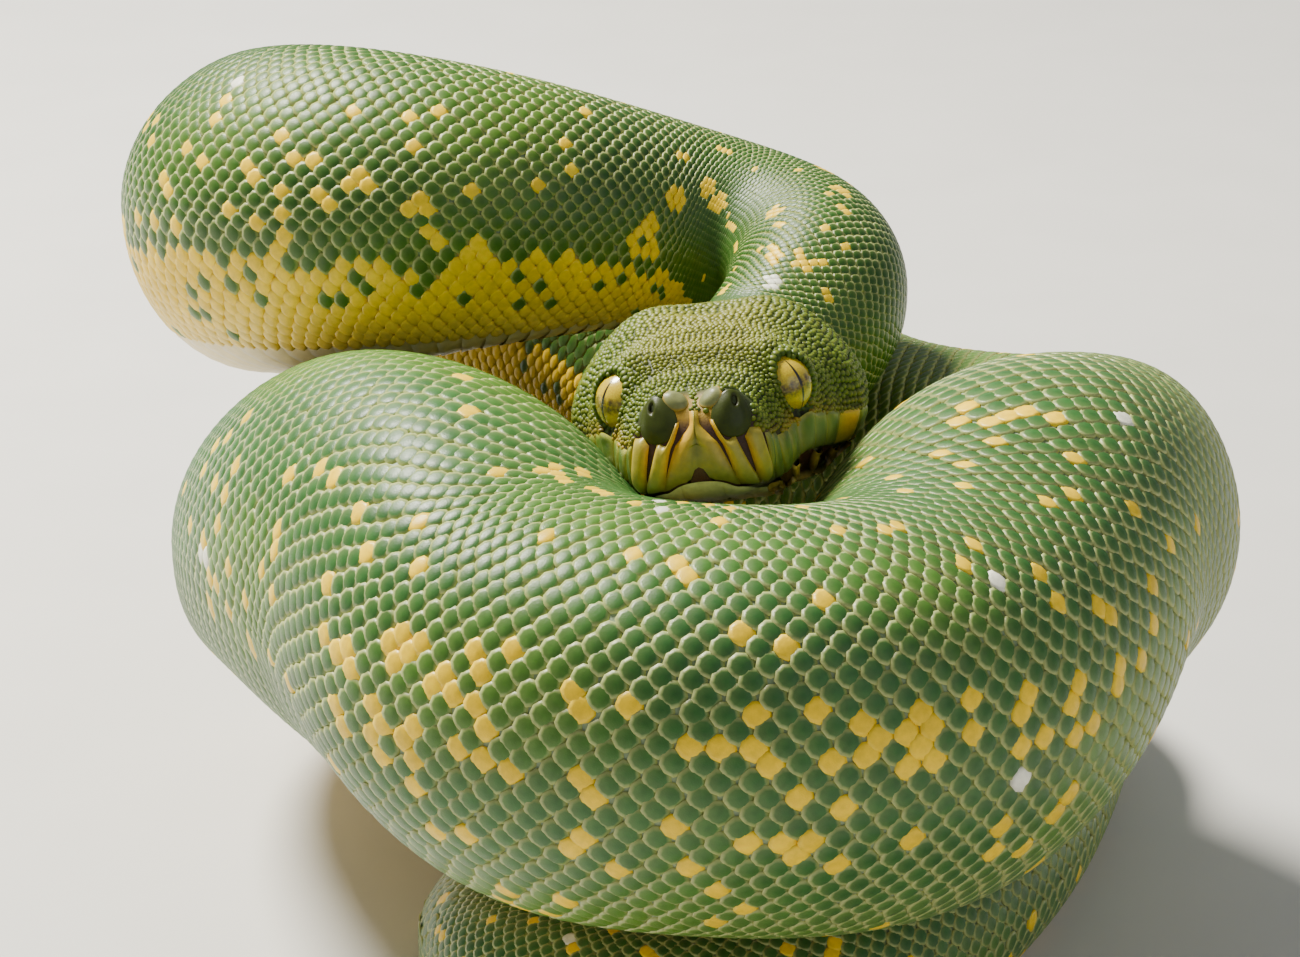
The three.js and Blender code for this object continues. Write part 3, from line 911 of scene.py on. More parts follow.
# ---------------------------------------------------------------- meshes
class Pieces:
    """Small tools to start, dress and hand over pieces."""

    @staticmethod
    def clear() -> None:
        """Leaves nothing selected, so an operator acts only on the new piece."""
        if bpy.context.object and bpy.context.object.mode != "OBJECT":
            bpy.ops.object.mode_set(mode="OBJECT")
        bpy.ops.object.select_all(action="DESELECT")

    @staticmethod
    def hand_over(piece: Piece, material: Material, slot: Slot, *nodes: str) -> None:
        """Dresses a piece, says what it rides on and hides the nodes it stands for."""
        piece.data.materials.append(material)
        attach(piece, "root")
        if nodes:
            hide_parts(*nodes)

    @staticmethod
    def ball(name: str, segments: int, rings: int) -> tuple[Piece, Array]:
        """Starts a piece from a ball of radius one."""
        Pieces.clear()
        bpy.ops.mesh.primitive_uv_sphere_add(segments=segments, ring_count=rings, radius=1)
        piece = bpy.context.object
        piece.name = piece.data.name = name
        return piece, Pieces.corners(piece.data)

    @staticmethod
    def corners(mesh: Mesh) -> Array:
        """The vertices of a mesh, one a row."""
        points = np.empty(len(mesh.vertices) * 3)
        mesh.vertices.foreach_get("co", points)
        return points.reshape(-1, 3)

    @staticmethod
    def shape(piece: Piece, points: Array) -> None:
        """Moves a piece's corners to points in millimetres, turns it outwards and smooths it."""
        piece.data.vertices.foreach_set("co", (points * MM).ravel())
        piece.data.update()
        Pieces.face_out(piece)
        Pieces.smooth_all(piece.data)

    @staticmethod
    def tint(mesh: Mesh, colours: Array) -> None:
        """Stores a colour for each vertex."""
        layer = mesh.color_attributes.new(name=TINT, type="FLOAT_COLOR", domain="POINT")
        opaque = np.ones((len(colours), 1))
        layer.data.foreach_set("color", np.hstack([np.clip(colours, 0, 1), opaque]).ravel())

    @staticmethod
    def bake_map(mesh: Mesh, places: Array) -> None:
        """Stores the unwrapped place of each vertex."""
        layer = mesh.uv_layers.new(name=BAKE_MAP)
        corners = np.empty(len(mesh.loops), dtype=np.int32)
        mesh.loops.foreach_get("vertex_index", corners)
        layer.data.foreach_set("uv", np.clip(places, 0, 1)[corners].ravel())

    @staticmethod
    def smooth_all(mesh: Mesh) -> None:
        """Shades every face smooth."""
        mesh.polygons.foreach_set("use_smooth", np.ones(len(mesh.polygons), bool))

    @staticmethod
    def face_out(piece: Piece) -> None:
        """Turns the faces of a piece outwards."""
        Pieces.clear()
        piece.select_set(True)
        bpy.context.view_layer.objects.active = piece
        bpy.ops.object.mode_set(mode="EDIT")
        bpy.ops.mesh.select_all(action="SELECT")
        bpy.ops.mesh.normals_make_consistent(inside=False)
        bpy.ops.object.mode_set(mode="OBJECT")


def unwrapped(spots: Spots, length: float) -> Array:
    """Places on the bake map, by the share of a length and of a whole turn."""
    return np.stack([spots.station / length, np.mod(spots.angle / (2 * math.pi), 1)], axis=-1)


class Level(IntEnum):
    """Rows of corners on a domed plate, and the heights that stand for them in its template."""

    FOOT = -1
    EDGE = 0
    SHOULDER = 1
    CENTRE = 2


@dataclass
class Lattice:
    """Places of many scales, with half their lengths and widths."""

    spots: Spots
    long: Array
    wide: Array

    def joined(self, more: Lattice) -> Lattice:
        """These scales and more after them."""
        long = np.concatenate([self.long, more.long])
        return Lattice(self.spots.joined(more.spots), long, np.concatenate([self.wide, more.wide]))


@dataclass
class Template:
    """One small shape that is copied many times: its corners and its faces."""

    corners: Array
    loops: Array
    starts: Array

    @classmethod
    def taken(cls, piece: Piece) -> Template:
        """Reads a modelled shape and removes its object."""
        mesh = piece.data
        loops = np.empty(len(mesh.loops), dtype=np.int32)
        mesh.loops.foreach_get("vertex_index", loops)
        starts = np.empty(len(mesh.polygons), dtype=np.int32)
        mesh.polygons.foreach_get("loop_start", starts)
        template = cls(Pieces.corners(mesh), loops, starts)
        bpy.data.objects.remove(piece)
        bpy.data.meshes.remove(mesh)
        return template

    def by_level(self, foot: Array, edge: Array, shoulder: Array, centre: float) -> Array:
        """One value for each corner of a domed plate, by the row that it lies in."""
        level = np.rint(self.corners[:, 2]).astype(int)
        rows = [level == Level.FOOT, level == Level.EDGE, level == Level.SHOULDER]
        return np.select(rows, [foot, edge, shoulder], centre)

    def laid(self, lattice: Lattice, heights: Array) -> Array:
        """Lays a copy at every place of a lattice.

        Args:
            lattice: Places and half sizes of the copies.
            heights: Heights of the corners over the surface.

        Returns:
            Corners of each copy, in millimetres.
        """
        spots = lattice.spots
        return (
            spots.place[:, None]
            + spots.along[:, None] * (self.corners[:, 0] * lattice.long[:, None])[..., None]
            + spots.around[:, None] * (self.corners[:, 1] * lattice.wide[:, None])[..., None]
            + spots.normal[:, None] * heights[..., None]
        )

    def patches(self, roots: Array) -> Array:
        """A small patch of the bake map for each copy, round its own place there."""
        return roots[:, None] + self.corners[:, :2] * PATCH / 2

    def joined(self, name: str, points: Array, colours: Array, patches: Array) -> Piece:
        """Makes one piece of many copies.

        Args:
            name: Name of the piece.
            points: Corners of each copy, in millimetres.
            colours: Colours of each copy's corners.
            patches: Unwrapped places of each copy's corners.

        Returns:
            The new object, at the origin.
        """
        count, size = points.shape[:2]
        mesh = bpy.data.meshes.new(name)
        mesh.vertices.add(count * size)
        placed = points.reshape(-1, 3).copy()
        placed[:, 2] = np.maximum(placed[:, 2], 0.0)
        mesh.vertices.foreach_set("co", (placed * MM).ravel())
        copies = np.arange(count, dtype=np.int32)[:, None]
        mesh.loops.add(count * len(self.loops))
        mesh.loops.foreach_set("vertex_index", (self.loops + copies * size).ravel())
        mesh.polygons.add(count * len(self.starts))
        starts = (self.starts + copies * len(self.loops)).ravel()
        mesh.polygons.foreach_set("loop_start", starts)
        mesh.update(calc_edges=True)
        Pieces.smooth_all(mesh)
        Pieces.tint(mesh, colours.reshape(-1, 3))
        Pieces.bake_map(mesh, patches.reshape(-1, 2))
        piece = bpy.data.objects.new(name, mesh)
        bpy.context.scene.collection.objects.link(piece)
        return piece


@dataclass(frozen=True)
class Workshop:
    """Models the small shapes with operators, as by hand."""

    shoulder: float = 0.66
    centre_reach: float = 0.01

    def domed(self, sides: int) -> Template:
        """A round plate of radius one with a shoulder, a middle point and a wall below it.

        Args:
            sides: Corners round the plate.

        Returns:
            The shape, each row of corners at the height of its Level. The maker replaces these
            by the real heights.
        """
        Pieces.clear()
        bpy.ops.mesh.primitive_circle_add(vertices=sides, radius=1, fill_type="NGON")
        piece = bpy.context.object
        bpy.ops.object.mode_set(mode="EDIT")
        bpy.ops.mesh.select_all(action="SELECT")
        bpy.ops.mesh.inset(thickness=(1 - self.shoulder) * math.cos(math.pi / sides))
        bpy.ops.mesh.poke()
        bpy.ops.mesh.select_all(action="DESELECT")
        bpy.ops.mesh.select_mode(type="EDGE")
        bpy.ops.mesh.select_non_manifold()
        bpy.ops.mesh.extrude_region_move(TRANSFORM_OT_translate={"value": (0, 0, Level.FOOT)})
        bpy.ops.object.mode_set(mode="OBJECT")
        for vertex in piece.data.vertices:
            radius = math.hypot(vertex.co.x, vertex.co.y)
            if radius < self.centre_reach:
                vertex.co.z = Level.CENTRE
            elif radius < 0.5 * (1 + self.shoulder):
                vertex.co.z = Level.SHOULDER
        return Template.taken(piece)

    def sheet(self, across: int, along: int) -> Template:
        """A flat square grid from -1 to 1."""
        Pieces.clear()
        bpy.ops.mesh.primitive_grid_add(x_subdivisions=across, y_subdivisions=along, size=2)
        return Template.taken(bpy.context.object)


# ---------------------------------------------------------------- finishes
class Shader:
    """A material's node tree in the making, with its surface and output."""

    # Where the values of a noise mostly lie.
    low_fac = 0.3
    high_fac = 0.7

    def __init__(self, name: str) -> None:
        """Starts a material with a surface shader and an output."""
        self.material = bpy.data.materials.new(name)
        self.material.use_nodes = True
        self.tree = self.material.node_tree
        self.tree.nodes.clear()
        self.surface = self.node("ShaderNodeBsdfPrincipled")
        output = self.node("ShaderNodeOutputMaterial")
        self.link(self.surface.outputs["BSDF"], output.inputs["Surface"])

    def node(self, kind: str, **settings: object) -> bpy.types.Node:
        """Adds a node and sets its own properties."""
        node = self.tree.nodes.new(kind)
        for name, value in settings.items():
            setattr(node, name, value)
        return node

    def link(self, source: Socket, target: Socket) -> None:
        """Joins two sockets."""
        self.tree.links.new(source, target)

    def noise(self, scale: float, detail: float, place: Socket | None = None) -> Socket:
        """Adds a noise texture.

        Args:
            scale: Size of its grain.
            detail: How finely it is broken up.
            place: Its coordinates, the object's own by default.

        Returns:
            Its value.
        """
        if place is None:
            place = self.node("ShaderNodeTexCoord").outputs["Object"]
        noise = self.node("ShaderNodeTexNoise")
        noise.inputs["Scale"].default_value = scale
        noise.inputs["Detail"].default_value = detail
        self.link(place, noise.inputs["Vector"])
        return noise.outputs["Fac"]

    def ranged(self, source: Socket, low: float, high: float) -> Socket:
        """Spreads a noise over a range."""
        node = self.node("ShaderNodeMapRange")
        node.inputs["From Min"].default_value = self.low_fac
        node.inputs["From Max"].default_value = self.high_fac
        node.inputs["To Min"].default_value = low
        node.inputs["To Max"].default_value = high
        self.link(source, node.inputs["Value"])
        return node.outputs["Result"]

    def math(
        self, operation: str, first: object, second: object = None, clamp: bool = False
    ) -> Socket:
        """Adds a math node.

        Args:
            operation: What it works out.
            first: A socket or a number.
            second: Another, where the operation has two.
            clamp: Whether the result stays between 0 and 1.

        Returns:
            The result.
        """
        node = self.node("ShaderNodeMath", operation=operation, use_clamp=clamp)
        for index, value in enumerate((first, second)):
            if isinstance(value, (int, float)):
                node.inputs[index].default_value = value
            elif value is not None:
                self.link(value, node.inputs[index])
        return node.outputs[0]

    def squared(self, value: Socket) -> Socket:
        """The square of a value."""
        return self.math("POWER", self.math("ABSOLUTE", value), 2)

    def bump(self, height: Socket, strength: float, depth: float) -> None:
        """Roughens the surface by a height."""
        bump = self.node("ShaderNodeBump")
        bump.inputs["Strength"].default_value = strength
        bump.inputs["Distance"].default_value = depth
        self.link(height, bump.inputs["Height"])
        self.link(bump.outputs["Normal"], self.surface.inputs["Normal"])

    def blend(self, share: Socket, first: Array, second: Array, ends: Pair = (0.0, 1.0)) -> Socket:
        """Blends two colours by a value."""
        ramp = self.node("ShaderNodeValToRGB")
        for element, colour, end in zip(ramp.color_ramp.elements, (first, second), ends):
            element.position = end
            element.color = (*colour, 1)
        self.link(share, ramp.inputs["Fac"])
        return ramp.outputs["Color"]

    def over(self, under: Socket, share: Socket, tint: Tint) -> Socket:
        """Lays a colour over another by a mask."""
        mix = self.node("ShaderNodeMix", data_type="RGBA")
        colours = [socket for socket in mix.inputs if socket.type == "RGBA"]
        self.link(share, mix.inputs["Factor"])
        self.link(under, colours[0])
        colours[1].default_value = (*tint.linear(), 1)
        return next(socket for socket in mix.outputs if socket.type == "RGBA")


@dataclass(frozen=True)
class TintedFinish:
    """A living surface that takes its colour from the mesh, with mottling, gloss and grain."""

    name: str
    rough_low: float
    rough_high: float
    mottle: float
    mottle_scale: float
    grain_scale: float
    grain_depth: float
    coat: float = 0.0
    specular: float = 0.5
    coat_roughness: float = 0.12
    mottle_detail: float = 3
    grain_detail: float = 4
    grain_strength: float = 0.5

    def build(self) -> Material:
        """Makes the material."""
        shader = Shader(self.name)
        surface = shader.surface
        own = shader.node("ShaderNodeAttribute", attribute_name=TINT)
        mottling = shader.noise(self.mottle_scale, self.mottle_detail)
        level = shader.ranged(mottling, 1 - self.mottle, 1 + self.mottle)
        scaled = shader.node("ShaderNodeVectorMath", operation="SCALE")
        shader.link(own.outputs["Color"], scaled.inputs[0])
        shader.link(level, scaled.inputs["Scale"])
        shader.link(scaled.outputs["Vector"], surface.inputs["Base Color"])
        grain = shader.noise(self.grain_scale, self.grain_detail)
        rough = shader.ranged(grain, self.rough_low, self.rough_high)
        shader.link(rough, surface.inputs["Roughness"])
        shader.bump(grain, self.grain_strength, self.grain_depth)
        surface.inputs["Coat Weight"].default_value = self.coat
        surface.inputs["Coat Roughness"].default_value = self.coat_roughness
        surface.inputs["Specular IOR Level"].default_value = self.specular
        return shader.material


@dataclass(frozen=True)
class EyeFinish:
    """Gold iris with a thin upright slit, a mottled brown band and fine rays, under a clear skin."""

    gold: Tint = Tint(202, 164, 0)
    pale: Tint = Tint(220, 196, 24)
    brown: Tint = Tint(92, 70, 0)
    slit: Tint = Tint(12, 6, 3)
    slit_width: float = 0.06
    slit_length: float = 0.96
    slit_sharpness: float = 45
    speck_scale: float = 9
    speck_detail: float = 6
    streak_scale: float = 26
    streak_detail: float = 3
    streak_ends: Pair = (0.35, 0.65)
    band_half: float = 0.26
    band_shift: float = 0.35
    band_level: float = 1.05
    band_patches: Pair = (-0.6, 0.9)
    band_strength: float = 0.62
    roughness: float = 0.24
    coat_roughness: float = 0.03
    relief_strength: float = 0.2
    relief_depth: float = 0.0001

    def build(self) -> Material:
        """Makes the material from the eye's own lens coordinates."""
        shader = Shader("eye_iris")
        surface = shader.surface
        lens = shader.node("ShaderNodeAttribute", attribute_name=LENS).outputs["Vector"]
        parts = shader.node("ShaderNodeSeparateXYZ")
        shader.link(lens, parts.inputs["Vector"])
        across, up = parts.outputs["X"], parts.outputs["Y"]
        speck = shader.noise(self.speck_scale, self.speck_detail, lens)
        streak = shader.noise(self.streak_scale, self.streak_detail, lens)
        iris = shader.blend(streak, self.gold.linear(), self.pale.linear(), self.streak_ends)
        height = shader.math("ADD", shader.math("DIVIDE", up, self.band_half), self.band_shift)
        band = shader.math("SUBTRACT", self.band_level, shader.squared(height))
        band = shader.math("ADD", band, shader.ranged(speck, *self.band_patches))
        band = shader.math("MULTIPLY", band, self.band_strength, clamp=True)
        marked = shader.over(iris, band, self.brown)
        open_part = shader.squared(shader.math("DIVIDE", up, self.slit_length))
        width = shader.math("MULTIPLY", shader.math("SUBTRACT", 1.0, open_part), self.slit_width)
        edge = shader.math("SUBTRACT", width, shader.math("ABSOLUTE", across))
        pupil = shader.math("MULTIPLY", edge, self.slit_sharpness, clamp=True)
        final = shader.over(marked, pupil, self.slit)
        shader.link(final, surface.inputs["Base Color"])
        surface.inputs["Roughness"].default_value = self.roughness
        surface.inputs["Coat Weight"].default_value = 1.0
        surface.inputs["Coat Roughness"].default_value = self.coat_roughness
        shader.bump(streak, self.relief_strength, self.relief_depth)
        return shader.material


class Finishes:
    """The snake's materials, each made once."""

    def __init__(self) -> None:
        """Makes every material."""
        self.scale = TintedFinish(
            "body_scale", 0.32, 0.48, 0.12, 900, 5200, 0.00006, specular=0.36
        ).build()
        self.skin = TintedFinish("body_skin", 0.5, 0.7, 0.15, 1400, 4200, 0.0001).build()
        self.bead = TintedFinish(
            "head_bead", 0.36, 0.52, 0.16, 1500, 6000, 0.00004, specular=0.4
        ).build()
        self.plate = TintedFinish("lip_plate", 0.3, 0.42, 0.12, 1100, 5200, 0.00004).build()
        self.pad = TintedFinish(
            "nasal_pad", 0.36, 0.48, 0.14, 1200, 4800, 0.00003, coat=0.06, specular=0.3
        ).build()
        self.scute = TintedFinish("belly_scute", 0.34, 0.5, 0.08, 700, 3800, 0.00005).build()
        self.eye = EyeFinish().build()


# ---------------------------------------------------------------- the skin
@dataclass
class Skin:
    """The closed skin over head, neck, trunk and tail, under the scales."""

    form: SnakeForm
    markings: Markings
    finishes: Finishes
    columns: int = 96
    mouth_column: int = 26
    front_rings: int = 13
    head_step: float = 0.62
    body_step: float = 2.1
    depth: float = 0.45
    head_depth: float = 0.22
    full_depth_width: float = 12.0
    least_depth: float = 0.3
    crease_half: float = 0.04
    crease_depth: float = 0.7
    least_station: float = 0.05
    lowest: float = 0.15
    mouth_fade: float = 20.0
    socket_reach: float = 1.6
    socket_depth: float = 0.7
    ball_gap: float = 0.3
    crease_end: Rise = Rise(37, 4)
    lip_foot: Rise = Rise(-1, 1)
    lip_top: Rise = Rise(8.6, 1.2)
    lip_back: Rise = Rise(7, 3)
    jaw_top: Rise = Rise(0, 0.5)
    lid_edge: Rise = Rise(1.05, 0.1)
    belly_edge: Rise = Rise(2.3, 0.3)

    def stations(self) -> Array:
        """Stations of the rings from the snout to the tip of the tail."""
        form = self.form
        blunt = form.head.snout_rounding * form.head.span
        front = blunt * (1 - np.cos(np.linspace(0, math.pi / 2, self.front_rings)))
        middle = np.arange(blunt, form.head_end, self.head_step)[1:]
        reach = form.end - form.head_end
        rest = form.head_end + np.linspace(0, reach, int(reach / self.body_step))
        return np.concatenate([front, middle, rest])

    def angles(self, station: Array, column: Array) -> tuple[Array, Array]:
        """Angles of the skin's columns, one of which follows the mouth line.

        Args:
            station: Station of each vertex.
            column: Column of each vertex.

        Returns:
            The angle of each vertex and how deep it lies in the mouth's crease, from 0 to 1.
        """
        head, half, k = self.form.head, self.columns // 2, self.mouth_column
        mirror = np.where(column > half, -1, 1)
        index = np.where(column > half, self.columns - column, column)
        mouth = head.mouth_angle(np.clip(station, self.least_station, self.form.head_reach))
        even = index / half * math.pi
        above = index / (k - 1) * (mouth - self.crease_half)
        below_share = (index - k - 1) / (half - k - 1)
        below = mouth + self.crease_half + below_share * (math.pi - mouth - self.crease_half)
        led = np.where(index < k, above, np.where(index > k, below, mouth))
        fade = 1 - smooth((station - head.mouth_end) / self.mouth_fade)
        crease = (index == k) * (1 - self.crease_end.at(station))
        return mirror * (even + (led - even) * fade), crease

    def build(self, nodes: list[str]) -> Piece:
        """Makes the skin.

        Args:
            nodes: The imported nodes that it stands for.

        Returns:
            The piece.
        """
        stations = self.stations()
        rings = len(stations) - 1
        piece, start = Pieces.ball("snake_skin", self.columns, rings)
        ring = np.rint(np.arccos(np.clip(start[:, 2], -1, 1)) / math.pi * rings).astype(int)
        turn = np.mod(np.arctan2(start[:, 1], start[:, 0]), 2 * math.pi)
        column = np.rint(turn / (2 * math.pi) * self.columns) % self.columns
        station = stations[ring]
        angle, crease = self.angles(station, column)
        spots = self.form.spots(station, angle)
        points = self.sunk(spots, crease, (ring == 0) | (ring == rings))
        points[ring == rings] = spots.place[ring == rings].mean(axis=0)
        points = self.open_eyes(points)
        points[:, 2] = np.maximum(points[:, 2], self.lowest)
        Pieces.shape(piece, points)
        Pieces.tint(piece.data, self.colours(spots, points, crease))
        turn_share = np.mod(angle / (2 * math.pi), 1)
        Pieces.bake_map(piece.data, np.stack([ring / rings, turn_share], axis=-1))
        Pieces.hand_over(piece, self.finishes.skin, Slot.BODY, *nodes)
        return piece

    def sunk(self, spots: Spots, crease: Array, pole: Array) -> Array:
        """Places sunk under the scales, deeper in the mouth's crease."""
        growth = self.form.half_width(spots.station) / self.full_depth_width
        sink = np.where(spots.station < self.form.head_reach, self.head_depth, self.depth)
        sink = sink * np.clip(growth, self.least_depth, 1) + crease * self.crease_depth
        return spots.place - spots.normal * np.where(pole, 0, sink)[:, None]

    def open_eyes(self, points: Array) -> Array:
        """Sinks the skin behind each eye's opening and lifts it just clear of the ball elsewhere.

        Args:
            points: The skin's vertices.

        Returns:
            The moved vertices.
        """
        radius = self.form.head.eye_radius
        for side in Side:
            eye = Eye(self.form, side)
            away = points - eye.centre()
            distance, share = eye.shares(points)
            inside = distance < radius + self.socket_reach
            seen = inside & (share < 1)
            near = inside & (share >= 1) & (distance < radius + self.ball_gap)
            points[seen] = eye.centre() + unit(away[seen]) * (radius - self.socket_depth)
            points[near] = eye.centre() + unit(away[near]) * (radius + self.ball_gap)
        return points

    def colours(self, spots: Spots, points: Array, crease: Array) -> Array:
        """Colours of the skin, the body's markings and the head's own."""
        _, _, between = self.markings.base(spots)
        head = 1 - smooth((spots.station - self.form.head_reach) / self.form.join)
        belly = self.belly_edge.at(np.abs(spots.angle))[:, None]
        body = between * (1 - belly) + PALETTE.belly.linear() * 0.8 * belly
        return mixed(body, self.head_colours(spots, points, crease), head)

    def head_colours(self, spots: Spots, points: Array, crease: Array) -> Array:
        """Colours of the head's skin: painted shade in the mouth, the pits and beside the eyeballs,
        pale under the jaw.

        Args:
            spots: Places of the skin's vertices on the form.
            points: The vertices, in millimetres.
            crease: How deep each lies in the mouth's crease.

        Returns:
            One colour for each vertex.
        """
        form = self.form.head
        y, local, level = self.form.head_places(spots)
        own = np.tile(PALETTE.crown_deep.linear(), (len(y), 1))
        # The skin under the front lip plates, seen in the slots between them, is darkened as painted
        # shade.
        lip = self.lip_foot.at(level) * (1 - self.lip_top.at(level))
        own = mixed(own, PALETTE.pit.linear(), lip * (1 - self.lip_back.at(y)) * 0.95)
        nose = bell(local[:, 2] - 8.3, 1.6, 4) * (np.abs(local[:, 0]) < 3.6) * bell(y, 6)
        own = mixed(own, PALETTE.seam.linear(), np.clip(nose * 1.4, 0, 0.95))
        low = self.jaw_top.at(-level) * (y < form.mouth_end)
        own = mixed(own, PALETTE.jaw.linear() * 0.42, low)
        # Painted shade deep in the mouth's crease.
        own = mixed(own, PALETTE.pit.linear() * 0.4, crease)
        for side in Side:
            distance, share = Eye(self.form, side).shares(points)
            near = (distance < form.eye_radius + 2) * (1 - self.lid_edge.at(share))
            wall = smooth((distance - form.eye_radius - 0.1) / 0.3)
            own = mixed(own, PALETTE.lip_green.linear(), near * wall * 0.9)
            # Right beside the eyeball the skin is darkened as painted shade.
            own = mixed(own, PALETTE.lid.linear(), near * (1 - wall))
        return own


# ---------------------------------------------------------------- scales of the body
@dataclass
class BodyScales:
    """Overlapping diamond scales over the back and flanks."""

    form: SnakeForm
    spacing: float = 0.142
    hidden_spacing: float = 0.17
    hidden: Rise = Rise(0.62, 0.06)
    belly_angle: float = 2.42
    # Shares of the body's length where each count of rows starts and ends.
    rows: tuple[tuple[float, float, int], ...] = (
        (0.0, 0.8, 62), (0.8, 0.93, 42), (0.93, 0.992, 26),
    )
    first_station: float = 47.0
    samples: int = 2000
    flank_angle: float = 2.0
    flank_samples: int = 9
    smoothing: int = 41
    stretch_limits: Pair = (1.0, 1.9)
    fill: float = 0.88
    lap: float = 0.99
    length_limits: Pair = (0.55, 1.15)
    roundness: float = 1.75
    outline_sides: int = 9
    wander: float = 0.05
    piece_limit: int = 4300
    wall_foot: float = -0.7
    growth_limits: Pair = (0.3, 1.1)

    def gaps(self, station: Array) -> Array:
        """Distance along the spine from one scale to the next at some stations.

        On the outside of a bend the scales keep their spacing, so they lie closer inside it.

        Args:
            station: The stations.

        Returns:
            One distance for each.
        """
        sides = np.linspace(-self.flank_angle, self.flank_angle, self.flank_samples)
        grid, angle = np.meshgrid(station, sides, indexing="ij")
        spots = self.form.spots(grid.ravel(), angle.ravel())
        widest = spots.along_stretch.reshape(grid.shape).max(axis=1)
        padded = np.pad(widest, self.smoothing // 2, mode="edge")
        window = np.ones(self.smoothing) / self.smoothing
        widest = np.clip(np.convolve(padded, window, mode="valid"), *self.stretch_limits)
        hidden = self.hidden.at(self.form.share(station))
        spacing = self.spacing + (self.hidden_spacing - self.spacing) * hidden
        return spacing * self.form.half_width(station) / widest

    def lattice(self) -> Lattice:
        """Places of the scales, staggered row by row, from the neck to the tail."""
        offset, length = self.form.body_offset, self.form.body.length
        rows: list[tuple[Array, ...]] = []
        for start, end, count in self.rows:
            first = max(self.first_station, offset + start * length)
            fine = np.linspace(first, offset + end * length, self.samples)
            density = count / self.rows[0][2] / self.gaps(fine)
            before = counted(fine, density)
            columns = np.arange(0.25, before[-1] + 0.25)
            step = 2 * self.belly_angle / count
            for row in range(count):
                at = columns + 0.5 * (row % 2)
                angle = -self.belly_angle + (row + 0.5) * step
                gap = 1 / np.interp(at, before, density)
                turn, width = np.full_like(at, angle), np.full_like(at, step)
                rows.append((np.interp(at, before, fine), turn, gap, width))
        station, angle, gap, step = (np.concatenate(column) for column in zip(*rows))
        random = np.random.default_rng(Seed.SCALE_PLACES)
        station = station + gap * self.wander * random.normal(size=len(gap))
        angle = angle + step * self.wander * random.normal(size=len(step))
        order = np.argsort(station, kind="stable")
        spots = self.form.spots(station[order], angle[order])
        wide = step[order] * spots.around_stretch * self.fill
        long = gap[order] * spots.along_stretch * 0.5 * self.lap
        least, most = self.length_limits
        return Lattice(spots, np.clip(long, least * wide, most * wide), wide)

    def template(self) -> Template:
        """The domed plate, drawn out from a circle to a rounded diamond."""
        template = Workshop().domed(self.outline_sides)
        corners = template.corners
        turn = np.arctan2(corners[:, 1], corners[:, 0])
        size = np.abs(np.cos(turn)) ** self.roundness + np.abs(np.sin(turn)) ** self.roundness
        corners[:, :2] *= (size ** (-1 / self.roundness))[:, None]
        return template

    def build(self, lattice: Lattice, markings: Markings, finishes: Finishes) -> list:
        """Makes the scales in pieces, from the neck to the tail.

        Args:
            lattice: Places and sizes of the scales.
            markings: Their colours.
            finishes: The materials.

        Returns:
            The pieces.
        """
        template = self.template()
        u = template.corners[:, 0]
        edge, shoulder = -0.40 + 0.17 * (u + 1), -0.12 + 0.05 * (u + 1)
        heights = template.by_level(self.wall_foot, edge, shoulder, 0.0)
        # The pale rim, partly a painted highlight, widens on each scale's raised free edge towards
        # the tail.
        outer, inner = 0.85 + 0.1 * u, 0.06 + 0.1 * u
        pale_share = template.by_level(outer, outer, inner, 0.0)
        spots = lattice.spots
        middle, rim, _ = markings.base(spots)
        size = self.form.growth(spots.station, *self.growth_limits)
        points = template.laid(lattice, heights * size[:, None])
        colours = mixed(middle[:, None], rim[:, None], pale_share)
        patches = template.patches(unwrapped(spots, self.form.end))
        pieces = []
        count = math.ceil(len(points) / self.piece_limit)
        for index, part in enumerate(np.array_split(np.arange(len(points)), count), start=1):
            name = f"body_scales_{index:02d}"
            piece = template.joined(name, points[part], colours[part], patches[part])
            Pieces.hand_over(piece, finishes.scale, Slot.BODY)
            pieces.append(piece)
        return pieces


@dataclass
class BellyScutes:
    """Wide scutes across the belly, each lapping over the next."""

    form: SnakeForm
    pitch: float = 0.165
    half_angle: float = 0.78
    lap: float = 1.12
    first_station: float = 46.0
    tail_gap: float = 4.0
    samples: int = 3000
    grid: tuple[int, int] = (12, 4)
    border: float = 0.99
    sunk_border: float = -0.55
    growth_limits: Pair = (0.2, 1.1)

    def build(self, finishes: Finishes) -> Piece:
        """Makes the scutes as one piece.

        Args:
            finishes: The materials.

        Returns:
            The piece.
        """
        template = Workshop().sheet(*self.grid)
        fine = np.linspace(self.first_station, self.form.end - self.tail_gap, self.samples)
        before = counted(fine, 1 / (self.pitch * self.form.half_width(fine)))
        at = np.interp(np.arange(0.5, before[-1] - 0.5), before, fine)
        long = self.pitch * self.form.half_width(at) / 2 * self.lap
        u, v = template.corners[:, 1], template.corners[:, 0]
        station = at[:, None] + u * long[:, None]
        angle = np.broadcast_to(math.pi + v * self.half_angle, station.shape)
        spots = self.form.spots(station.ravel(), angle.ravel())
        rise = np.where(u > 0.9, -0.05, np.where(u < -0.9, -0.6, -0.2 + 0.12 * u))
        size = self.form.growth(at, *self.growth_limits)[:, None]
        lift = np.where(np.abs(v) > self.border, self.sunk_border, rise) * size
        points = spots.place + spots.normal * lift.ravel()[:, None]
        edge = np.clip(np.abs(v) ** 3 * 0.5 + np.maximum(u, 0) ** 4 * 0.6, 0, 1)
        edge = np.broadcast_to(edge, station.shape)
        colours = mixed(PALETTE.belly.linear(), PALETTE.belly_edge.linear(), edge)
        patches = unwrapped(spots, self.form.end).reshape(*station.shape, 2)
        points = points.reshape(*station.shape, 3)
        piece = template.joined("belly_scutes", points, colours, patches)
        Pieces.hand_over(piece, finishes.scute, Slot.BODY)
        return piece


